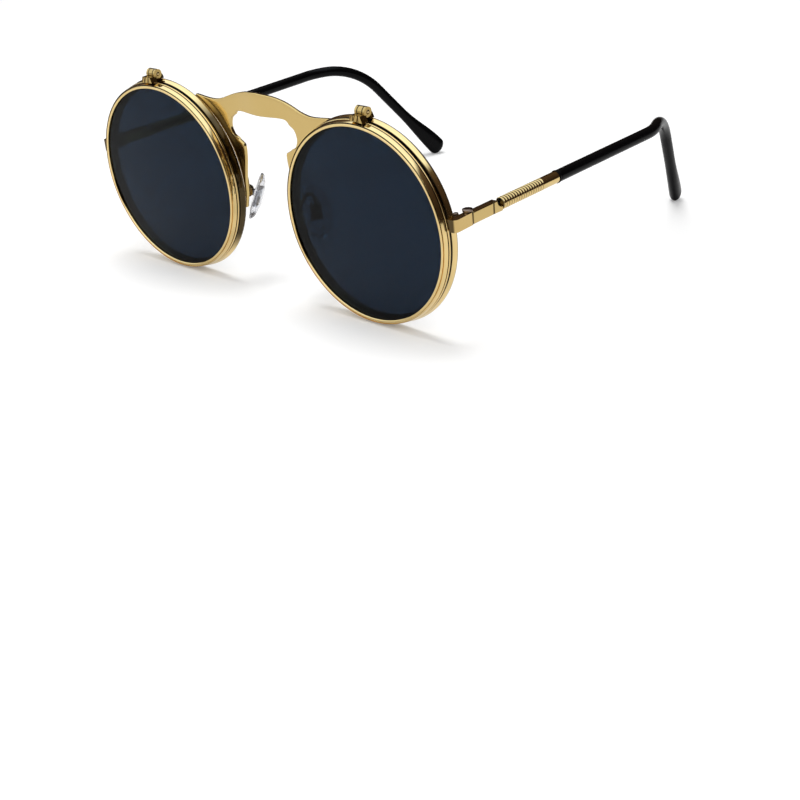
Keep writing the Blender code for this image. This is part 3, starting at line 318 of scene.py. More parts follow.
def settle(name, mesh, body, nodes, finish, crease=30.0, edge=0.0):
    """Merge doubled points, turn faces outward, shade, paint and hand over the piece; an
    edge width above zero rounds its sharp edges."""
    outward(mesh, 1e-6)
    mesh.shade_smooth()
    mesh.set_sharp_from_angle(angle=math.radians(crease))
    mesh.materials.append(finish)
    piece = bpy.data.objects.new(name, mesh)
    bpy.context.scene.collection.objects.link(piece)
    if edge:
        rounding = piece.modifiers.new("rounded edges", "BEVEL")
        rounding.width = edge
        rounding.segments = 3
        rounding.limit_method = "ANGLE"
        rounding.angle_limit = math.radians(35)
        rounding.harden_normals = True
    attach(piece, body)
    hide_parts(*nodes)
    return piece


def skin(name, grid, body, nodes, finish, around=True, closed=False, crease=40.0):
    """A piece whose skin runs over a grid of places."""
    return settle(name, mesh_from(grid, quad_faces(grid, around, closed), name), body, nodes,
                  finish, crease)


def new_finish(name, **values):
    """A new material and its shader with some sockets set."""
    material = bpy.data.materials.new(name)
    material.use_nodes = True
    return material, set_sockets(material.node_tree.nodes["Principled BSDF"], values)


def cloud_on(shader, **values):
    """A cloud of noise over the piece's own coordinates."""
    tree = shader.id_data
    cloud = add_node(tree, "TexNoise", **values)
    wire_nodes(tree, (add_node(tree, "TexCoord"), "Object", cloud, "Vector"))
    return cloud


def drifting(shader, socket, cloud, first, last, **window):
    """Let a shader's socket go with a cloud from a first number or colour to a last; the
    window is the part of the cloud's range that it goes through."""
    tree = shader.id_data
    if np.ndim(first):
        step = add_node(tree, "Mix")
        step.data_type = "RGBA"
        set_sockets(step, {"A": (*first, 1), "B": (*last, 1)})
    else:
        step = add_node(tree, "MapRange", To_Min=first, To_Max=last, **window)
    wire_nodes(tree, (cloud, "Fac", step, "Factor" if np.ndim(first) else "Value"),
               (step, "Result", shader, socket))


def lifted_by(shader, cloud, strength, distance):
    """Let a cloud of noise lift the surface by up to a distance."""
    tree = shader.id_data
    lift = add_node(tree, "Bump", Strength=strength, Distance=distance)
    wire_nodes(tree, (cloud, "Fac", lift, "Height"), (lift, "Normal", shader, "Normal"))


def polished_metal(name, light, dark, smooth, rough, grain, dent):
    """Polished metal: the colour drifts between two tones over millimetres, the polish
    between two roughnesses over tenths, and faint buffing marks lift the surface."""
    material, shader = new_finish(name, Metallic=1.0)
    marks = cloud_on(shader, Scale=grain, Detail=5.0, Roughness=0.65)
    drifting(shader, "Base Color", cloud_on(shader, Scale=180.0, Detail=3.0), light, dark)
    drifting(shader, "Roughness", marks, smooth, rough, From_Min=0.35, From_Max=0.70)
    lifted_by(shader, marks, dent, 0.00001)
    return material


def painted_dark(material, shade_amount):
    """Darken a metal with painted shade where a socket says how much."""
    tree = material.node_tree
    shader = tree.nodes["Principled BSDF"]
    tone = shader.inputs["Base Color"].links[0].from_socket
    shade_mix = add_node(tree, "Mix")
    shade_mix.data_type = "RGBA"
    # The dark brown mixed in here is painted shade, not a tone of the metal.
    set_sockets(shade_mix, {"B": (0.05, 0.035, 0.018, 1)})
    tree.links.new(shade_amount, shade_mix.inputs["Factor"])
    tree.links.new(tone, shade_mix.inputs["A"])
    wire_nodes(tree, (shade_mix, "Result", shader, "Base Color"))


def shade_attribute(material):
    """How much painted shade a point holds, as written on the mesh's points."""
    groove = add_node(material.node_tree, "Attribute")
    groove.attribute_name = "groove"
    return groove.outputs["Fac"]


def write_shade(piece, values):
    """Write the painted shade of every point."""
    groove = piece.data.attributes.new("groove", "FLOAT", "POINT")
    groove.data.foreach_set("value", np.asarray(values, float).ravel())


def fading(first, last):
    """A share for each place round a ring: 1 up to the first angle from the top, falling
    with the height to 0 at the last."""
    high, low = math.cos(math.radians(first)), math.cos(math.radians(last))
    return np.clip((np.cos(full_turn(ring_steps)) - low) / (high - low), 0, 1)[:, None]


rim_gold = polished_metal("rim_gold", (0.84, 0.64, 0.30), (0.77, 0.57, 0.25), 0.05, 0.12,
                          grain=2600.0, dent=0.15)
painted_dark(rim_gold, shade_attribute(rim_gold))
rim_section = filleted(
    [(rim_outer - 0.00036, 0), (rim_outer - 0.00031, 0.00026),
     (rim_outer - 0.00002, 0.00115), (rim_outer, 0.00132), (rim_outer, rim_depth),
     (sight_radius + 0.00095, rim_depth),
     (sight_radius + 0.00078, rim_depth - 0.00017), (sight_radius, rim_depth - 0.00017),
     (sight_radius, rim_depth / 2 + groove_half),
     (sight_radius + groove_depth, rim_depth / 2 + groove_half),
     (sight_radius + groove_depth, rim_depth / 2 - groove_half),
     (sight_radius, rim_depth / 2 - groove_half), (sight_radius, 0)],
    [0.00004, 0.00004, 0.00006, 0.00005, 0.00020, 0.00006, 0.00006, 0.00005, 0.00005,
     0.00003, 0.00003, 0.00005, 0.00008])
# Painted shade on the rims: the front outer corner is darkened all round except near the bottom, as
# shade from the flip ring in front, and the back outer corner and the lens groove are darkened all
# round.
low_fade = (112, 138)
shade_centre_angle = math.radians(82)
rim_shade = np.repeat([0.9, 0, 0, 0, 0.8, 0, 0, 0, 0.5, 0.5, 0.5, 0, 0], fillet_steps)
rim_corner = np.arange(len(rim_shade)) // fillet_steps
ring_shade = np.where(rim_corner == 0, fading(*low_fade), 1) * rim_shade
for word, side in both_sides:
    eyewire = skin("eyewire_" + word, on_front(turned_ring(rim_section, side * eye_across)),
                   "front", ["rim_" + word], rim_gold, closed=True)
    # Painted shade on the outer wall towards the nose, in the recess beside the plate's wing.
    toward_nose = np.cos(full_turn(ring_steps) + side * shade_centre_angle)
    wing_shade = 0.96 * np.clip((toward_nose - 0.60) / 0.20, 0, 1)[:, None]
    write_shade(eyewire, np.maximum(ring_shade, wing_shade * (rim_corner < 5)))


# The clear lenses: thin moulded discs with a shallow bulge, snapped into the
# rims' grooves behind the dark ones. They are seen only when these are up.
lens_thickness = 0.0009
lens_bulge = 0.0008
lens_play = 0.0001


def lens_section(sight, steps=28):
    """Half section of a bulged disc: both faces follow a sphere's sag
    sqrt(R^2 - r^2) - (R - b), a lens thickness apart, from the axis to the edge."""
    edge = sight + groove_depth - lens_play
    sphere = (edge ** 2 + lens_bulge ** 2) / (2 * lens_bulge)
    radius = edge * np.sin(np.linspace(0, np.pi / 2, steps))
    sag = np.sqrt(sphere ** 2 - radius ** 2) - (sphere - lens_bulge)
    return np.vstack([np.c_[radius, -lens_thickness / 2 - sag],
                      np.c_[radius, lens_thickness / 2 - sag][::-1]])


# Clear hard-coated plastic with a breath of haze.
clear_plastic, shader = new_finish("clear_lens_plastic", Base_Color=(0.93, 0.96, 0.96, 1),
                                   IOR=1.45, Transmission_Weight=1.0)
drifting(shader, "Roughness", cloud_on(shader, Scale=240.0), 0.0, 0.008)
for word, side in both_sides:
    section = lens_section(sight_radius) + [0, rim_depth / 2]
    skin("snapped_clear_lens_" + word, on_front(turned_ring(section, side * eye_across)),
         "front", ["clear_lens_" + word], clear_plastic, around=False,
         closed=True)


# The flip rings: the same wire as the rims, a little finer, each hung from its
# hinge in front of its rim with a narrow shadow gap. The face has a flat inner
# lip, a groove and a sloping outer band, with a fine step before the back.
flip_sight = 0.0240
flip_outer = 0.0254
flip_depth = 0.0019
gap_top = 0.00075
gap_bottom = 0.00035
flip_settle = math.asin((gap_top - gap_bottom) / (2 * flip_outer))
pin_above = 0.0273
pin_behind = 0.00015


def tilt(axis, angle):
    """Rotation matrix about a main axis, for column vectors."""
    cosine, sine = math.cos(angle), math.sin(angle)
    first, second = {"X": (1, 2), "Y": (2, 0), "Z": (0, 1)}[axis]
    matrix = np.eye(3)
    matrix[first, first] = matrix[second, second] = cosine
    matrix[first, second], matrix[second, first] = -sine, sine
    return matrix


def on_flip(points):
    """Places given from the hinge pins' line, tipped back by the ring's small settle
    angle, then set on the front."""
    return on_front(points @ tilt("X", flip_settle).T + [0, pin_behind, pin_above])


flip_front = -gap_top - flip_depth - pin_behind
flip_back = flip_depth + 0.00026
flip_section = filleted(
    [(flip_outer, flip_depth - 0.00036), (flip_outer, flip_back), (flip_sight, flip_back),
     (flip_sight, flip_depth / 2 + groove_half),
     (flip_sight + groove_depth, flip_depth / 2 + groove_half),
     (flip_sight + groove_depth, flip_depth / 2 - groove_half),
     (flip_sight, flip_depth / 2 - groove_half), (flip_sight, 0.0),
     (flip_sight + 0.00067, 0.0), (flip_sight + 0.00068, 0.00023),
     (flip_sight + 0.00069, 0.00046), (flip_sight + 0.00095, 0.00046),
     (flip_sight + 0.00100, 0.00012), (flip_outer - 0.00010, 0.00122),
     (flip_outer - 0.00040, 0.00128), (flip_outer - 0.00040, 0.00156)],
    [0.00018, 0.00022, 0.00010, 0.00005, 0.00003, 0.00003, 0.00005, 0.00024, 0.00018,
     0.00004, 0.00004, 0.00005, 0.00005, 0.00005, 0.00004, 0.00004]) + [0, flip_front]
# Painted shade on the flip rings, strongest towards the top: the groove behind the lip is darkened
# down to about the height of the centre, and the back corners, the lens groove's front edge and the
# step before the back are darkened all round except near the bottom.
groove_fade = (72, 95)
flip_shade = np.repeat([0, 0.7, 0.7, 0, 0, 0, 0.8, 0, 0, 1, 1, 1, 0, 0, 1, 1], fillet_steps)
flip_corner = np.arange(len(flip_shade)) // fillet_steps
in_groove = (flip_corner >= 9) & (flip_corner <= 11)
ring_shade = np.where(in_groove, fading(*groove_fade), fading(*low_fade)) * flip_shade
for word, side in both_sides:
    wire = skin("flip_ring_" + word,
                on_flip(turned_ring(flip_section, side * eye_across, -pin_above)),
                "flip_" + word, ["flip_rim_" + word], rim_gold, closed=True)
    write_shade(wire, ring_shade)


# The dark lenses: the same moulding in navy-grey plastic, hard coated, its tone
# drifting a little. They let through a few hundredths of the light, so the
# temple and pad behind show as shades.
dark_plastic, shader = new_finish("dark_lens_plastic", IOR=1.175, Transmission_Weight=1.0)
cloud = cloud_on(shader, Scale=26.0, Detail=1.0)
drifting(shader, "Base Color", cloud, (0.0080, 0.0165, 0.0320), (0.0098, 0.0192, 0.0360))
drifting(shader, "Roughness", cloud, 0.0, 0.006)
for word, side in both_sides:
    section = lens_section(flip_sight) + [0, flip_front + flip_depth / 2]
    skin("tinted_lens_" + word,
         on_flip(turned_ring(section, side * eye_across, -pin_above)), "flip_" + word,
         ["dark_lens_" + word], dark_plastic, around=False, closed=True)


# The flip hinges: each a brass leaf brazed on the flip ring with two knuckles,
# a leaf brazed on the rim with the middle knuckle, and a steel pin riveted
# through all three. Their feet are seated on the round of the rings.
knuckle_radius = 0.00125
hinge_half = 0.00155
centre_half = 0.0007
foot_half = 0.0025
foot_share = 0.58
hinge_across = eye_across + 0.0015
pin_radius = 0.00045
pin_proud = 0.00012
round_clearance = 0.00015
bore_clearance = 0.0001
seam = 0.0002
cut_reach = 0.004
ring_sides = 320
slot_half = 0.00011
slot_deep = 0.00030
slot_pitch = 0.00105
cut, join = "DIFFERENCE", "UNION"


def block(low, high, top_share=1.0):
    """A box between two corners, its top narrowed along X to a share."""
    (x0, y0, z0), (x1, y1, z1) = low, high
    middle = (x0 + x1) / 2
    a, b = middle + (x0 - middle) * top_share, middle + (x1 - middle) * top_share
    points = [(x0, y0, z0), (x1, y0, z0), (x1, y1, z0), (x0, y1, z0),
              (a, y0, z1), (b, y0, z1), (b, y1, z1), (a, y1, z1)]
    return mesh_from(points, [(3, 2, 1, 0), (4, 5, 6, 7), (0, 1, 5, 4), (1, 2, 6, 5),
                              (2, 3, 7, 6), (3, 0, 4, 7)])


def prism(outline, low, high, order=(0, 1, 2), centre=(0, 0, 0)):
    """A flat outline stood up between two heights, its three axes put in an order."""
    count = len(outline)
    points = np.vstack([np.c_[outline, np.full(count, height)] for height in (low, high)])
    number = np.arange(count)
    after = (number + 1) % count
    walls = np.stack([number, after, after + count, number + count], -1).tolist()
    return mesh_from(points[:, list(order)] + np.array(centre, float),
                     walls + [number[::-1].tolist(), (number + count).tolist()])


def rod(radius, start, end, axis, centre=(0, 0, 0), sides=48):
    """A cylinder from start to end along X, Y or Z through a centre."""
    angle = full_turn(sides)
    order = {"X": (2, 0, 1), "Y": (1, 2, 0), "Z": (0, 1, 2)}[axis]
    return prism(radius * np.c_[np.cos(angle), np.sin(angle)], start, end, order, centre)


def bored(radius, reach, axis, centre=(0, 0, 0)):
    """The cut of a bore right through, with clearance round its pin or screw."""
    return cut, rod(radius + bore_clearance, -reach, reach, axis, centre)


def carved(base, *steps):
    """The base mesh after exact joins and cuts with other meshes, one after another."""
    room = bpy.context.scene.collection.objects
    helpers = [bpy.data.objects.new("form", base)]
    room.link(helpers[0])
    for operation, tool in steps:
        helpers.append(bpy.data.objects.new("tool", tool))
        room.link(helpers[-1])
        step = helpers[0].modifiers.new("step", "BOOLEAN")
        step.operation = operation
        step.solver = "EXACT"
        step.object = helpers[-1]
    shape = helpers[0].evaluated_get(bpy.context.evaluated_depsgraph_get())
    result = bpy.data.meshes.new_from_object(shape)
    for helper in helpers:
        bpy.data.objects.remove(helper)
    return result


def moved(mesh, place):
    """The mesh with every point sent through a placing function."""
    points = np.empty(len(mesh.vertices) * 3)
    mesh.vertices.foreach_get("co", points)
    mesh.vertices.foreach_set("co", place(points.reshape(-1, 3)).ravel())
    mesh.update()
    return mesh


def set_at(mesh, place, on=on_front):
    """The mesh shifted to a place and carried onto the front or the flip ring."""
    return moved(mesh, lambda points: on(points + place))


def line_shade(material, direction, places, spread):
    """How much painted shade a point holds near straight lines: 0.92 within half the spread of
    the nearest place along a direction, fading to 0 at the spread."""
    tree = material.node_tree
    along = add_node(tree, "VectorMath", "DOT_PRODUCT")
    along.inputs[1].default_value = direction
    wire_nodes(tree, (add_node(tree, "TexCoord"), "Object", along, 0))
    total = None
    for place in places:
        away = add_node(tree, "Math", "SUBTRACT")
        away.inputs[1].default_value = place
        size = add_node(tree, "Math", "ABSOLUTE")
        near = add_node(tree, "MapRange", From_Min=spread, From_Max=spread / 2, To_Max=0.92)
        wire_nodes(tree, (along, "Value", away, 0), (away, 0, size, 0), (size, 0, near, 0))
        if total:
            both = add_node(tree, "Math", "MAXIMUM")
            wire_nodes(tree, (total, 0, both, 0), (near, 0, both, 1))
        total = both if total else near
    return total.outputs[0]


def lies_along(place, direction):
    """How far out a place on the front lies along a direction of the room."""
    return float(np.dot(on_front(place), direction))


hinge_gold = polished_metal("hinge_gold", (0.60, 0.43, 0.16), (0.33, 0.22, 0.07), 0.08, 0.24,
                            grain=3400.0, dent=0.30)
knuckle_gap = centre_half + 0.0001
# Painted shade: the hinge gold darkens in narrow bands at the gaps between the knuckles.
painted_dark(hinge_gold, line_shade(
    hinge_gold, across, [lies_along([side * hinge_across + step * knuckle_gap, 0, 0], across)
                         for side in (1, -1) for step in (1, -1)], spread=0.00022))
pin_steel = polished_metal("pin_steel", (0.62, 0.47, 0.24), (0.40, 0.28, 0.12), 0.12, 0.26,
                           grain=5200.0, dent=0.25)
slant = tilt("Y", math.radians(24))
for word, side in both_sides:
    centre = np.array([side * hinge_across, 0, 0])
    seat = np.array([side * eye_across, 0, 0]) - centre
    relief = knuckle_radius + round_clearance
    pin_line = (0, pin_behind, pin_above)
    foot_top = -knuckle_radius * 0.25
    leaf = carved(
        block((-foot_half, 0.0001, rim_outer - knuckle_radius),
              (foot_half, rim_depth, pin_above + foot_top), foot_share),
        (cut, rod(rim_outer + seam, -0.001, 0.003, "Y", seat, ring_sides)),
        (join, rod(knuckle_radius, -hinge_half, hinge_half, "X", pin_line)),
        (cut, rod(relief, -cut_reach, -centre_half, "X", pin_line)),
        (cut, rod(relief, centre_half, cut_reach, "X", pin_line)),
        bored(pin_radius, cut_reach, "X", pin_line))
    settle("rim_leaf_" + word, set_at(leaf, centre), "front", ["rim_hinge_leaf_" + word],
           hinge_gold, edge=0.00008)
    leaf = carved(
        block((-foot_half, flip_front, flip_outer - knuckle_radius - pin_above),
              (foot_half, flip_front + flip_depth * 1.08, foot_top), foot_share),
        (cut, rod(flip_outer + seam, flip_front - 0.001, 0.003, "Y", seat - [0, 0, pin_above],
                  ring_sides)),
        (join, rod(knuckle_radius, -hinge_half, hinge_half, "X")),
        (cut, rod(relief, -knuckle_gap, knuckle_gap, "X")),
        bored(pin_radius, cut_reach, "X"),
        *[(cut, moved(block((-slot_half, flip_front - 0.001, -cut_reach),
                            (slot_half, flip_front + slot_deep, 0.001)),
                      lambda points: points @ slant.T + [spot, 0, 0]))
          for spot in (-slot_pitch, 0.0, slot_pitch)])
    settle("flip_leaf_" + word, set_at(leaf, centre, on_flip), "flip_" + word,
           ["flip_hinge_leaf_" + word], hinge_gold, edge=0.00012)
    pin_half = hinge_half + pin_proud
    domed = pin_radius * np.array([0, 0.55, 0.85, 1])
    reach = pin_half - np.array([0, 0.00001, 0.00005, 0.00014])
    radius = np.r_[domed, domed[::-1]][:, None]
    angle = full_turn(32)[None, :]
    grid = np.stack([np.r_[-reach, reach[::-1]][:, None] + 0 * angle, radius * np.cos(angle),
                     radius * np.sin(angle)], -1)
    skin("riveted_pin_" + word, on_flip(grid + centre), "flip_" + word,
         ["flip_hinge_pin_" + word], pin_steel)


# The bridge plate: one flat keyhole plate, blanked from nickel-brass sheet,
# pressed slightly forward in the middle and brazed behind both rims. Its
# edges are tumbled round and its faces are satin.
plate_thick = 0.0009
plate_front = rim_depth + seam
plate_arch = 0.0010
plate_round = 0.00014
half_gap = eye_across - rim_outer
lap = rim_outer - 0.0004
shoulder = rim_outer * 0.2016
crown_raise = 0.0007


def through(points, steps):
    """A Catmull-Rom curve through the given points, as an array."""
    points = np.asarray(points, float)
    ends = np.vstack([2 * points[0] - points[1], points, 2 * points[-1] - points[-2]])
    t = np.linspace(0, 1, steps, endpoint=False)[None, :, None]
    a, b, c, d = (ends[k:len(ends) - 3 + k, None, :] for k in range(4))
    curve = (2 * b + (c - a) * t + (2 * a - 5 * b + 4 * c - d) * t ** 2
             + (3 * b - a - 3 * c + d) * t ** 3) / 2
    return np.vstack([curve.reshape(-1, points.shape[1]), points[-1:]])


def evenly(points, count):
    """Evenly spaced places along a polyline."""
    length = np.r_[0, np.cumsum(np.linalg.norm(np.diff(points, axis=0), axis=1))]
    wanted = np.linspace(0, length[-1], count)
    return np.stack([np.interp(wanted, length, points[:, k])
                     for k in range(points.shape[1])], -1)


def lap_edge(height):
    """Where the plate's lapped edge lies across at a height."""
    return eye_across - np.sqrt(lap ** 2 - height ** 2)


def inner_places(shares):
    """Inner edge places from (height, width) shares."""
    height = rim_outer * np.array(shares)[:, 0]
    return np.stack([lap_edge(height) - shoulder * np.array(shares)[:, 1], height], -1)


leg = through(inner_places(((-0.20, 0.05), (-0.06, 0.13), (0.12, 0.24), (0.33, 0.70),
                            (0.44, 0.97), (0.473, 1.02))), 16)
lobe_side = inner_places(((0.505, 0.82), (0.535, 0.62), (0.60, 0.67), (0.651, 0.86),
                          (0.713, 1.27), (0.756, 1.79)))
crown_low = rim_outer * (1 - 0.223) + crown_raise
lobe = through([leg[-1], *lobe_side, (lobe_side[-1, 0] * 0.80, crown_low), (0, crown_low)], 16)
wing = rim_outer * 0.446
turn = np.linspace(np.pi - math.asin(leg[-1, 1] / lap), math.acos(-wing / lap), 60)
arc = np.stack([eye_across + lap * np.cos(turn), lap * np.sin(turn)], -1)
crown = rim_outer + crown_raise
saddle = np.array([eye_across - rim_outer * 0.678, rim_outer * (1 - 0.124)])
rise = crown - saddle[1]
top = through([(eye_across - wing, math.sqrt(rim_outer ** 2 - wing ** 2)), saddle,
               *[(saddle[0] * out, saddle[1] + rise * lift) for out, lift in
                 ((0.79, 0.15), (0.62, 0.44), (0.45, 0.69), (0.25, 0.90))], (0, crown)], 16)
leg_part = evenly(leg, 61)[:-1]
inner = np.vstack([leg_part, evenly(lobe, 60 + 110)])
outer = np.vstack([np.stack([lap_edge(leg_part[:, 1]), leg_part[:, 1]], -1), evenly(arc, 60),
                   evenly(top, 111)[1:]])
inner = np.vstack([inner, (inner * [-1, 1])[-2::-1]])
outer = np.vstack([outer, (outer * [-1, 1])[-2::-1]])


def edge_normals(points, towards):
    """In-plane unit normals of an edge, on the side where the metal lies."""
    along = np.gradient(points, axis=0)
    normal = np.stack([-along[:, 1], along[:, 0]], -1)
    normal /= lengths(normal)
    return normal * np.sign(np.sum(normal * (towards - points), axis=1, keepdims=True))


width = lengths(outer - inner)
round_off = np.minimum(plate_round, width * 0.35)
swing = np.radians([90, 67.5, 45, 22.5, 0])
columns = []
for edge_points, normals in ((inner, edge_normals(inner, outer)),
                             (outer, edge_normals(outer, inner))):
    columns.append([np.hstack([edge_points + normals * round_off * (1 - math.cos(angle)),
                               round_off * (1 - math.sin(angle))]) for angle in swing])
between = [np.hstack([columns[0][0][:, :2] * (1 - share) + columns[1][0][:, :2] * share,
                      0 * width]) for share in (0.25, 0.5, 0.75)]
front_side = columns[0][::-1] + between + columns[1]
loop = front_side + [np.c_[places[:, :2], plate_thick - places[:, 2]]
                     for places in front_side[::-1]]
flat = np.stack(loop, 1)
lift = np.cos(np.minimum(np.abs(flat[..., 0]) / half_gap, 1) * np.pi / 2) ** 2
places = np.stack([flat[..., 0], plate_front - plate_arch * lift + flat[..., 2],
                   flat[..., 1]], -1)
plate_gold = polished_metal("plate_gold", (0.64, 0.465, 0.185), (0.61, 0.435, 0.165), 0.10, 0.20,
                            grain=1800.0, dent=0.12)
skin("keyhole_plate", on_front(places), "front", ["bridge_plate"], plate_gold,
     crease=50.0)


# The end pieces: square brass bar bent round the corner and brazed to each rim,
# with the hinge's outer two knuckles and its screw put in from above. Behind
# each, two small blocks and a screw close the rim round the clear lens.
bar_thick = 0.0019
bar_half = 0.0015
end_inner = eye_across + rim_outer
end_outer = end_inner + bar_thick
end_front = -0.0010
end_round = 0.0012
knuckle_inset = 0.0015
hinge_out = end_outer - knuckle_inset
braze_gap = 0.0001
head_play = 0.0001
butt = 0.0002
post_radius = 0.00115
post_half = 0.0014
middle_half = 0.00055
screw_radius = 0.0005
drill_reach = 0.003
lock_half = 0.00075
lock_bore = 0.00045


def solid_from(grid, caps=False):
    """A closed form over a grid of places, its doubled points merged."""
    return outward(mesh_from(grid, quad_faces(grid, caps=caps)), 1e-7)


def screw_form(shank, head, thick, length, turn=0.0):
    """A domed, slotted head on a shank, about the local Z axis with its seat at zero: the
    head's top falls with the fourth power of the distance from the axis."""
    out = np.array([0, 0.35, 0.6, 0.8, 0.93, 1.0])
    section = np.vstack([np.c_[out * head, thick * (1 - 0.35 * out ** 4)],
                         [[head * 0.985, 0.0], [shank, 0.0], [shank, -length], [0, -length]]])
    angle = full_turn(48)[None, :]
    form = solid_from(np.stack([section[:, :1] * np.cos(angle), section[:, :1] * np.sin(angle),
                                section[:, 1:] + 0 * angle], -1))
    half = head * 0.12
    slot = block((-head * 1.3, -half, thick * 0.5), (head * 1.3, half, thick * 2))
    return moved(carved(form, (cut, slot)), lambda points: points @ tilt("Z", turn).T)


end_gold = polished_metal("end_gold", (0.66, 0.48, 0.20), (0.60, 0.42, 0.16), 0.06, 0.15,
                          grain=2400.0, dent=0.20)
# Painted shade: the end pieces darken in bands at the joint with the temple bar, on the hinge
# screw's line, and along the front face's edge.
painted_dark(end_gold, line_shade(end_gold, back, [
    lies_along([0, screw_back, 0], back), lies_along([0, end_front, 0], back) - 0.00012],
    spread=0.00040))
# Dark brass for the screws and lock blocks. Part of its darkness is the brass's own tone. The rest
# is painted shade for the lock blocks, which sit in shadow behind the rims.
dark_shaded_brass = polished_metal("dark_shaded_brass", (0.26, 0.19, 0.14), (0.10, 0.07, 0.055), 0.14, 0.34,
                             grain=4200.0, dent=0.35)
for word, side in both_sides:
    root = end_inner - bar_thick
    rear = screw_back - butt / 2
    bend = np.radians(np.linspace(-90, 0, 9))
    outline = np.vstack([
        [(root, end_front)],
        np.c_[end_outer - end_round + end_round * np.cos(bend),
              end_front + end_round + end_round * np.sin(bend)],
        [(end_outer, rear), (end_inner, rear), (end_inner, end_front + bar_thick),
         (root, end_front + bar_thick)]])
    post = (side * hinge_out, screw_back, 0)
    room_half = middle_half + bore_clearance
    corner = carved(
        prism(outline * [side, 1], -bar_half, bar_half),
        (cut, rod(rim_outer + braze_gap, -drill_reach, rim_depth + 0.0005, "Y",
                  (side * eye_across, 0, -screw_above), ring_sides)),
        (join, rod(post_radius, -post_half, post_half, "Z", post)),
        (cut, rod(post_radius + round_clearance, -room_half, room_half, "Z", post)),
        bored(screw_radius, drill_reach, "Z", post))
    settle("corner_bar_" + word, set_at(corner, [0, 0, screw_above]), "front",
           ["end_piece_" + word], end_gold, edge=0.00014)
    seat = np.array([side * hinge_out, screw_back, screw_above + bar_half + head_play])
    settle("hinge_screw_" + word,
           set_at(screw_form(screw_radius, head=0.0013, thick=0.0006, length=0.0031,
                             turn=side * 0.5), seat),
           "front", ["temple_hinge_screw_" + word], dark_shaded_brass, edge=0.00006)
    lock_at = np.array([side * (end_inner - seam - lock_half), rim_depth + seam + lock_half,
                        screw_above])
    for level, low_edge, high_edge in (("upper", 0.00015, 0.0013), ("lower", -0.0013, -0.00015)):
        piece = carved(block((-lock_half, -lock_half, low_edge), (lock_half, lock_half, high_edge)),
                       (cut, rod(lock_bore, -drill_reach, drill_reach, "Z")))
        settle("lock_block_%s_%s" % (level, word), set_at(piece, lock_at), "front",
               ["rim_lock_%s_%s" % (level, word)], dark_shaded_brass, edge=0.00015)
    seat = lock_at + [0, 0, 0.0014]
    settle("lock_screw_" + word,
           set_at(screw_form(0.00035, head=0.00065, thick=0.0004, length=0.0026,
                             turn=math.radians(35)), seat),
           "front", ["rim_lock_screw_" + word], dark_shaded_brass, edge=0.00004)


# The temples. A path runs back from the hinge, dropping at the rake angle,
# then turns inward and down behind the ear. Everything on a temple is a
# section carried along this path.
rake = math.radians(1.5)
bar_end = 0.0110
rib_count = 16
rib_pitch = 0.00093
barrel_radius = 0.0015
ribs_end = bar_end + rib_count * rib_pitch
collar_start = ribs_end + 0.0066
sleeve_start = collar_start + 0.0008
turn_start = sleeve_start + 0.0387
ear_start = turn_start + 0.0070
ear_bend = math.radians(50)
ear_turn = math.radians(24.3)
ear_end = ear_start + 0.0230 * ear_bend
temple_end = ear_end + 0.0318


def along_temple(distance, sideways, upwards, side):
    """A grid of places: each row at its distance on a temple's path, each column at a
    sideways and upward place in the section there. The heading's pitch and yaw rise
    evenly over the bends, and the path is the running sum of short steps along it."""
    fine = np.linspace(0, temple_end, 2601)

    def heading(at):
        """The direction of the path and its yaw at distances."""
        pitch = rake + ear_bend * np.clip((at - ear_start) / (ear_end - ear_start), 0, 1)
        yaw = ear_turn * np.clip((at - turn_start) / (ear_start - turn_start), 0, 1)
        return np.stack([-np.sin(yaw) * np.cos(pitch), np.cos(yaw) * np.cos(pitch),
                         -np.sin(pitch)], -1), yaw

    steps = heading((fine[1:] + fine[:-1]) / 2)[0] * (fine[1] - fine[0])
    line = np.vstack([[0, 0, 0], np.cumsum(steps, axis=0)])
    places = np.stack([np.interp(distance, fine, line[:, k]) for k in range(3)], -1)
    ahead, yaw = heading(distance)
    outwards = np.stack([np.cos(yaw), np.sin(yaw), 0 * yaw], -1)
    start = np.array([hinge_out + knuckle_inset - bar_thick / 2, screw_back, screw_above])
    return ((places + start)[:, None] + outwards[:, None] * sideways[..., None]
            + np.cross(outwards, ahead)[:, None] * upwards[..., None]) * [side, 1, 1]


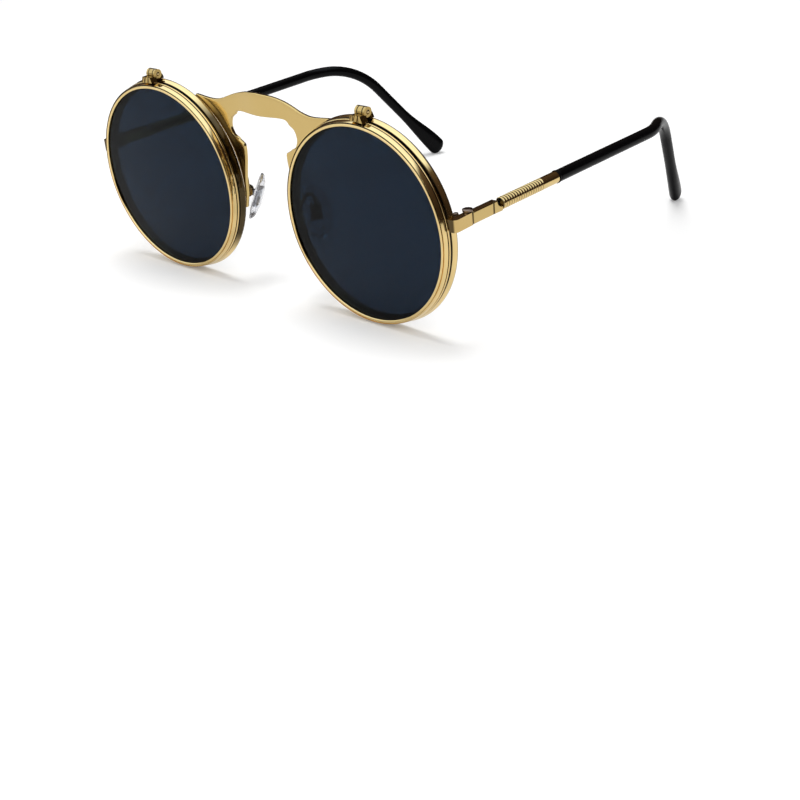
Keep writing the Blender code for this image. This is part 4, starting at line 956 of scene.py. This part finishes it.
# The temple bars: flat stamped brass, a knuckle at the front between the end
# piece's two, a fine stamped line across the outer face, and a scoop filed
# into the top where the round barrel is brazed on.
bar_gold = polished_metal("bar_gold", (0.63, 0.465, 0.19), (0.59, 0.42, 0.16), 0.05, 0.13,
                          grain=2200.0, dent=0.15)
run = np.array([0.0, math.cos(rake), -math.sin(rake)]) @ plane_axes
bar_root = lies_along([0, screw_back, screw_above], run)
stamp_at = 0.0076
stamp_deep = 0.00016
stamp_half = 0.00014
front_round = 0.00022
front_inset = 0.00016
# Painted shade: the temple bars darken in bands at the joint by the hinge and in the stamped line.
painted_dark(bar_gold, line_shade(bar_gold, run, [bar_root, bar_root + stamp_at],
                              spread=0.00038))
bar_stop = bar_end - seam
scoop_radius = 0.0019
scoop_floor = -0.0003
for word, side in both_sides:
    distance = np.unique(np.r_[butt / 2, butt / 2 + front_round, np.linspace(0.001, 0.0073, 22),
                               stamp_at + np.array([-0.00020, -0.00006, 0.00006, 0.00020]),
                               np.linspace(0.0079, 0.0088, 4),
                               bar_stop - scoop_radius * np.cos(np.linspace(0, np.pi / 2, 24))])
    reach = np.clip(bar_stop - distance, 0, scoop_radius)
    scooped = scoop_floor + scoop_radius - np.sqrt(scoop_radius ** 2 - reach ** 2)
    top_height = np.where(bar_stop - distance < scoop_radius, np.minimum(bar_half, scooped),
                          bar_half)
    inset = front_inset * np.clip(1 - (distance - butt / 2) / front_round, 0, 1)
    stamp = stamp_deep * np.clip(1.4 - np.abs(distance - stamp_at) / stamp_half, 0, 1)
    section = filleted([(1, 1), (-1, 1), (-1, -1), (1, -1)], [0.30] * 4, 6)
    sideways = section[None, :, 0] * (bar_thick / 2 - inset)[:, None]
    sideways = np.where(section[None, :, 0] > 0, sideways - stamp[:, None], sideways)
    middle = (top_height - bar_half) / 2
    high = (top_height + bar_half) / 2 - inset
    upwards = middle[:, None] + section[None, :, 1] * high[:, None]
    post = (side * hinge_out, screw_back, screw_above)
    clear_radius = post_radius + round_clearance
    bar = carved(
        solid_from(along_temple(distance, sideways, upwards, side), caps=True),
        (join, rod(post_radius, -middle_half, middle_half, "Z", post)),
        (cut, rod(clear_radius, middle_half, drill_reach, "Z", post)),
        (cut, rod(clear_radius, -drill_reach, -middle_half, "Z", post)),
        bored(screw_radius, drill_reach, "Z", post))
    settle("flat_bar_" + word, moved(bar, on_front), "temple_" + word, ["temple_bar_" + word],
           bar_gold, crease=35.0)


# The barrels: round brass rod with sixteen turned ribs and a plain length
# behind them. The ribs are rounded on top and the grooves between them carry
# painted shade.
barrel_gold = polished_metal("ribbed_gold", (0.80, 0.60, 0.27), (0.72, 0.52, 0.215), 0.06, 0.14,
                             grain=2800.0, dent=0.12)
painted_dark(barrel_gold, shade_attribute(barrel_gold))
rib_depth = 0.00038
fade_out = 0.00027
round_steps = 64
around = full_turn(round_steps)[None, :]


def round_section(wide, high, side, distance, raised=0.0):
    """Ovals along a temple's path: sideways wide cos a, upwards raised + high sin a."""
    return on_front(along_temple(distance, wide[:, None] * np.cos(around),
                                 raised + high[:, None] * np.sin(around), side))


for word, side in both_sides:
    phase = np.linspace(0, 1, 14, endpoint=False)
    ribs = (bar_end + (np.arange(rib_count)[:, None] + phase[None, :]) * rib_pitch).ravel()
    hump = np.clip(np.sin(np.pi * np.tile(phase, rib_count)) * 1.25, 0, 1) ** 0.9
    plain = np.r_[ribs_end + fade_out * np.arange(4) / 3,
                  np.linspace(ribs_end + 0.0005, collar_start - seam, 12)]
    height = np.r_[hump, np.clip((plain - ribs_end) / fade_out, 0, 1) ** 0.5]
    radius = barrel_radius - rib_depth * (1 - height)
    barrel = skin("turned_barrel_" + word, round_section(radius, radius, side, np.r_[ribs, plain]),
                  "temple_" + word, ["ribbed_barrel_" + word], barrel_gold,
                  crease=60.0)
    # Painted shade in the grooves between the ribs.
    in_rib_groove = np.clip(1 - height * 1.15, 0, 1) ** 0.6 * 0.96
    write_shade(barrel, np.repeat(in_rib_groove, round_steps))


# The sleeves: black cellulose acetate tube shrunk over the steel core wire,
# swelling into a flattened paddle with a rounded tip; a moulded ring closes
# the mouth against the barrel. The drawn steel shows streaks in its polish.
black, shader = new_finish("sleeve_black", Specular_IOR_Level=0.08)
cloud = cloud_on(shader, Scale=130.0, Detail=4.0)
drifting(shader, "Base Color", cloud, (0.0008, 0.0008, 0.0011), (0.0020, 0.0020, 0.0024))
drifting(shader, "Roughness", cloud, 0.16, 0.34)
lifted_by(shader, cloud_on(shader, Scale=900.0), 0.15, 0.00002)
steel, shader = new_finish("bare_steel", Metallic=1.0)
streak = cloud_on(shader, Scale=700.0)
drifting(shader, "Base Color", streak, (0.42, 0.42, 0.43), (0.62, 0.62, 0.62))
drifting(shader, "Roughness", streak, 0.25, 0.45)
collar_radius = 0.0015
collar_round = 0.00014
sleeve_radius = 0.00152
paddle_length = 0.0200
paddle_wide = 0.00175
paddle_high = 0.00275
paddle_raised = 0.00045
tip_round = 0.0022
swing = np.linspace(0, np.pi / 2, 5)
cap = np.linspace(0, np.pi / 2, 16)[1:-1]
for word, side in both_sides:
    distance = np.r_[collar_start + collar_round * (1 - np.cos(swing)),
                     sleeve_start - seam - collar_round * (1 - np.cos(swing[::-1]))]
    radius = collar_radius + collar_round * np.sin(np.r_[swing, swing[::-1]])
    skin("mouth_ring_" + word, round_section(radius, radius, side, distance), "temple_" + word,
         ["sleeve_collar_" + word], black, crease=60.0)
    body_end = temple_end - tip_round
    body = np.linspace(sleeve_start + 0.0005, body_end, 170)
    distance = np.r_[sleeve_start + 0.0001 * (1 - np.cos(swing)), body,
                     body_end + tip_round * np.sin(cap)]
    share = np.clip((distance - temple_end + paddle_length) / (paddle_length - tip_round), 0, 1)
    swell = (1 - np.cos(np.pi * share)) / 2
    closing = np.r_[0.93 + 0.07 * np.sin(swing), np.ones(len(body)), np.cos(cap)]
    wide = (sleeve_radius + (paddle_wide - sleeve_radius) * swell) * closing
    high = (sleeve_radius + (paddle_high - sleeve_radius) * swell) * closing
    raised = (paddle_raised * swell * closing)[:, None]
    skin("acetate_sleeve_" + word, round_section(wide, high, side, distance, raised),
         "temple_" + word, ["temple_sleeve_" + word], black, crease=70.0)
    core = frame["nodes"]["core_wire_" + word]
    core.data.materials.clear()
    core.data.materials.append(steel)


# The nose pads. A wire arm is brazed to the plate's leg and loops back to a
# small round box; a screw through the box holds the eye of a plate moulded
# into the clear silicone pad, which rocks a few degrees.
pad_screw_radius = 0.00035
box_radius = 0.0013
box_half = 0.0012
eye_half = 0.00035
pad_front = 0.0007
pad_back = 0.0019
pad_gap = box_radius + seam + pad_front
pad_drop = 0.0008
pad_half_wide = 0.0038
pad_half_high = 0.0065
arm_radius = 0.00045
arm_arch = 0.0036
root_above = -0.0012
pad_place = np.array([0.0127, 0.0055, -0.0022])
plate_half = 0.00145
plate_high = 0.0021
insert_thick = 0.0005
pocket = 0.0002


# Clear silicone with a faint milky cloud and a satin skin.
silicone, shader = new_finish("clear_silicone", IOR=1.41)
cloud = cloud_on(shader, Scale=420.0, Detail=3.0)
drifting(shader, "Base Color", cloud, (0.90, 0.91, 0.95), (0.96, 0.96, 0.98))
drifting(shader, "Transmission Weight", cloud, 0.99, 0.90)
drifting(shader, "Roughness", cloud, 0.03, 0.12)
box_brass = polished_metal("box_brass", (0.52, 0.40, 0.20), (0.16, 0.11, 0.05), 0.10, 0.30,
                           grain=3000.0, dent=0.40)
insert_steel = polished_metal("insert_steel", (0.24, 0.24, 0.26), (0.12, 0.12, 0.14), 0.15, 0.30,
                              grain=2500.0, dent=0.30)
for word, side in both_sides:
    box_at = pad_place * [side, 1, 1]
    face_nose = tilt("Z", np.pi) if side == 1 else np.eye(3)
    pad_turn = (tilt("X", -math.radians(12.5)) @ tilt("Y", -side * math.radians(18))
                @ tilt("Z", -side * math.radians(40)) @ face_nose)

    def on_pad(points):
        """Places in the pad's own directions, about its screw, set on the front."""
        return on_front(points @ pad_turn.T + box_at)

    bore = bored(pad_screw_radius, drill_reach, "Y")
    box = carved(
        rod(box_radius, -box_half, box_half, "Y"),
        (cut, block((-box_radius + 0.0005, -eye_half - bore_clearance, -drill_reach),
                    (drill_reach, eye_half + bore_clearance, drill_reach))), bore)
    settle("screw_box_" + word, moved(box, on_pad), "front", ["pad_box_" + word], box_brass,
           edge=0.00010)
    seat = np.array([0, box_half + head_play, 0])
    head_back = tilt("X", -np.pi / 2)
    settle("rocker_screw_" + word,
           moved(screw_form(pad_screw_radius, head=0.00085, thick=0.00035,
                            length=2 * box_half + 0.0001),
                 lambda points: on_pad(points @ head_back.T + seat)),
           "front", ["pad_screw_" + word], dark_shaded_brass, edge=0.00004)
    plate_back = pad_gap - pad_front + seam
    insert = carved(
        block((plate_back, -plate_half, -pad_drop - plate_high),
              (plate_back + insert_thick, plate_half, -pad_drop + plate_high)),
        (join, block((0, -eye_half, -0.0008), (plate_back + 0.00025, eye_half, 0.0008))),
        (join, rod(0.00081, -eye_half - 0.00001, eye_half + 0.00001, "Y")), bore)
    settle("moulded_plate_" + word, moved(insert, on_pad), "pad_" + word,
           ["pad_insert_" + word], insert_steel, edge=0.00008)
    leg_back = plate_front + plate_thick
    root = np.array([side * lap_edge(root_above), leg_back + seam + arm_radius / 2,
                     root_above])
    top = box_at + [0, 0, box_radius + seam]
    bends = [root + (top - root) * share + [0, 0, arm_arch * up_share]
             for share, up_share in ((0.14, 0.30), (0.42, 0.66), (0.78, 0.66), (0.97, 0.38))]
    route = evenly(through([root, *bends, top], 20), 70)
    ahead = np.gradient(route, axis=0)
    ahead /= lengths(ahead)
    one = np.cross(ahead, [1.0, 0.2, 0.0])
    one /= lengths(one)
    two = np.cross(ahead, one)
    ring_turn = full_turn(20)[None, :, None]
    grid = route[:, None] + arm_radius * (one[:, None] * np.cos(ring_turn)
                                          + two[:, None] * np.sin(ring_turn))
    skin("wire_arm_" + word, on_front(grid), "front", ["pad_arm_" + word], hinge_gold,
         crease=50.0)
    polar = np.linspace(0, np.pi, 41)[:, None]
    azimuth = full_turn(72)[None, :]
    x = np.sin(polar) * np.cos(azimuth)
    y = np.sin(polar) * np.sin(azimuth)
    z = np.cos(polar) + 0 * azimuth
    form = solid_from(np.stack([pad_gap + x * np.where(x > 0, pad_back, pad_front),
                                y * pad_half_wide * (1 - 0.10 * z),
                                -pad_drop + z * pad_half_high], -1))
    room_wide, room_high = plate_half + pocket, plate_high + pocket
    pad = carved(form, (cut, block(
        (0, -room_wide, -pad_drop - room_high),
        (plate_back + insert_thick + seam, room_wide, -pad_drop + room_high))))
    settle("silicone_pad_" + word, moved(pad, on_pad), "pad_" + word, ["nose_pad_" + word],
           silicone, crease=40.0)


low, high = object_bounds()
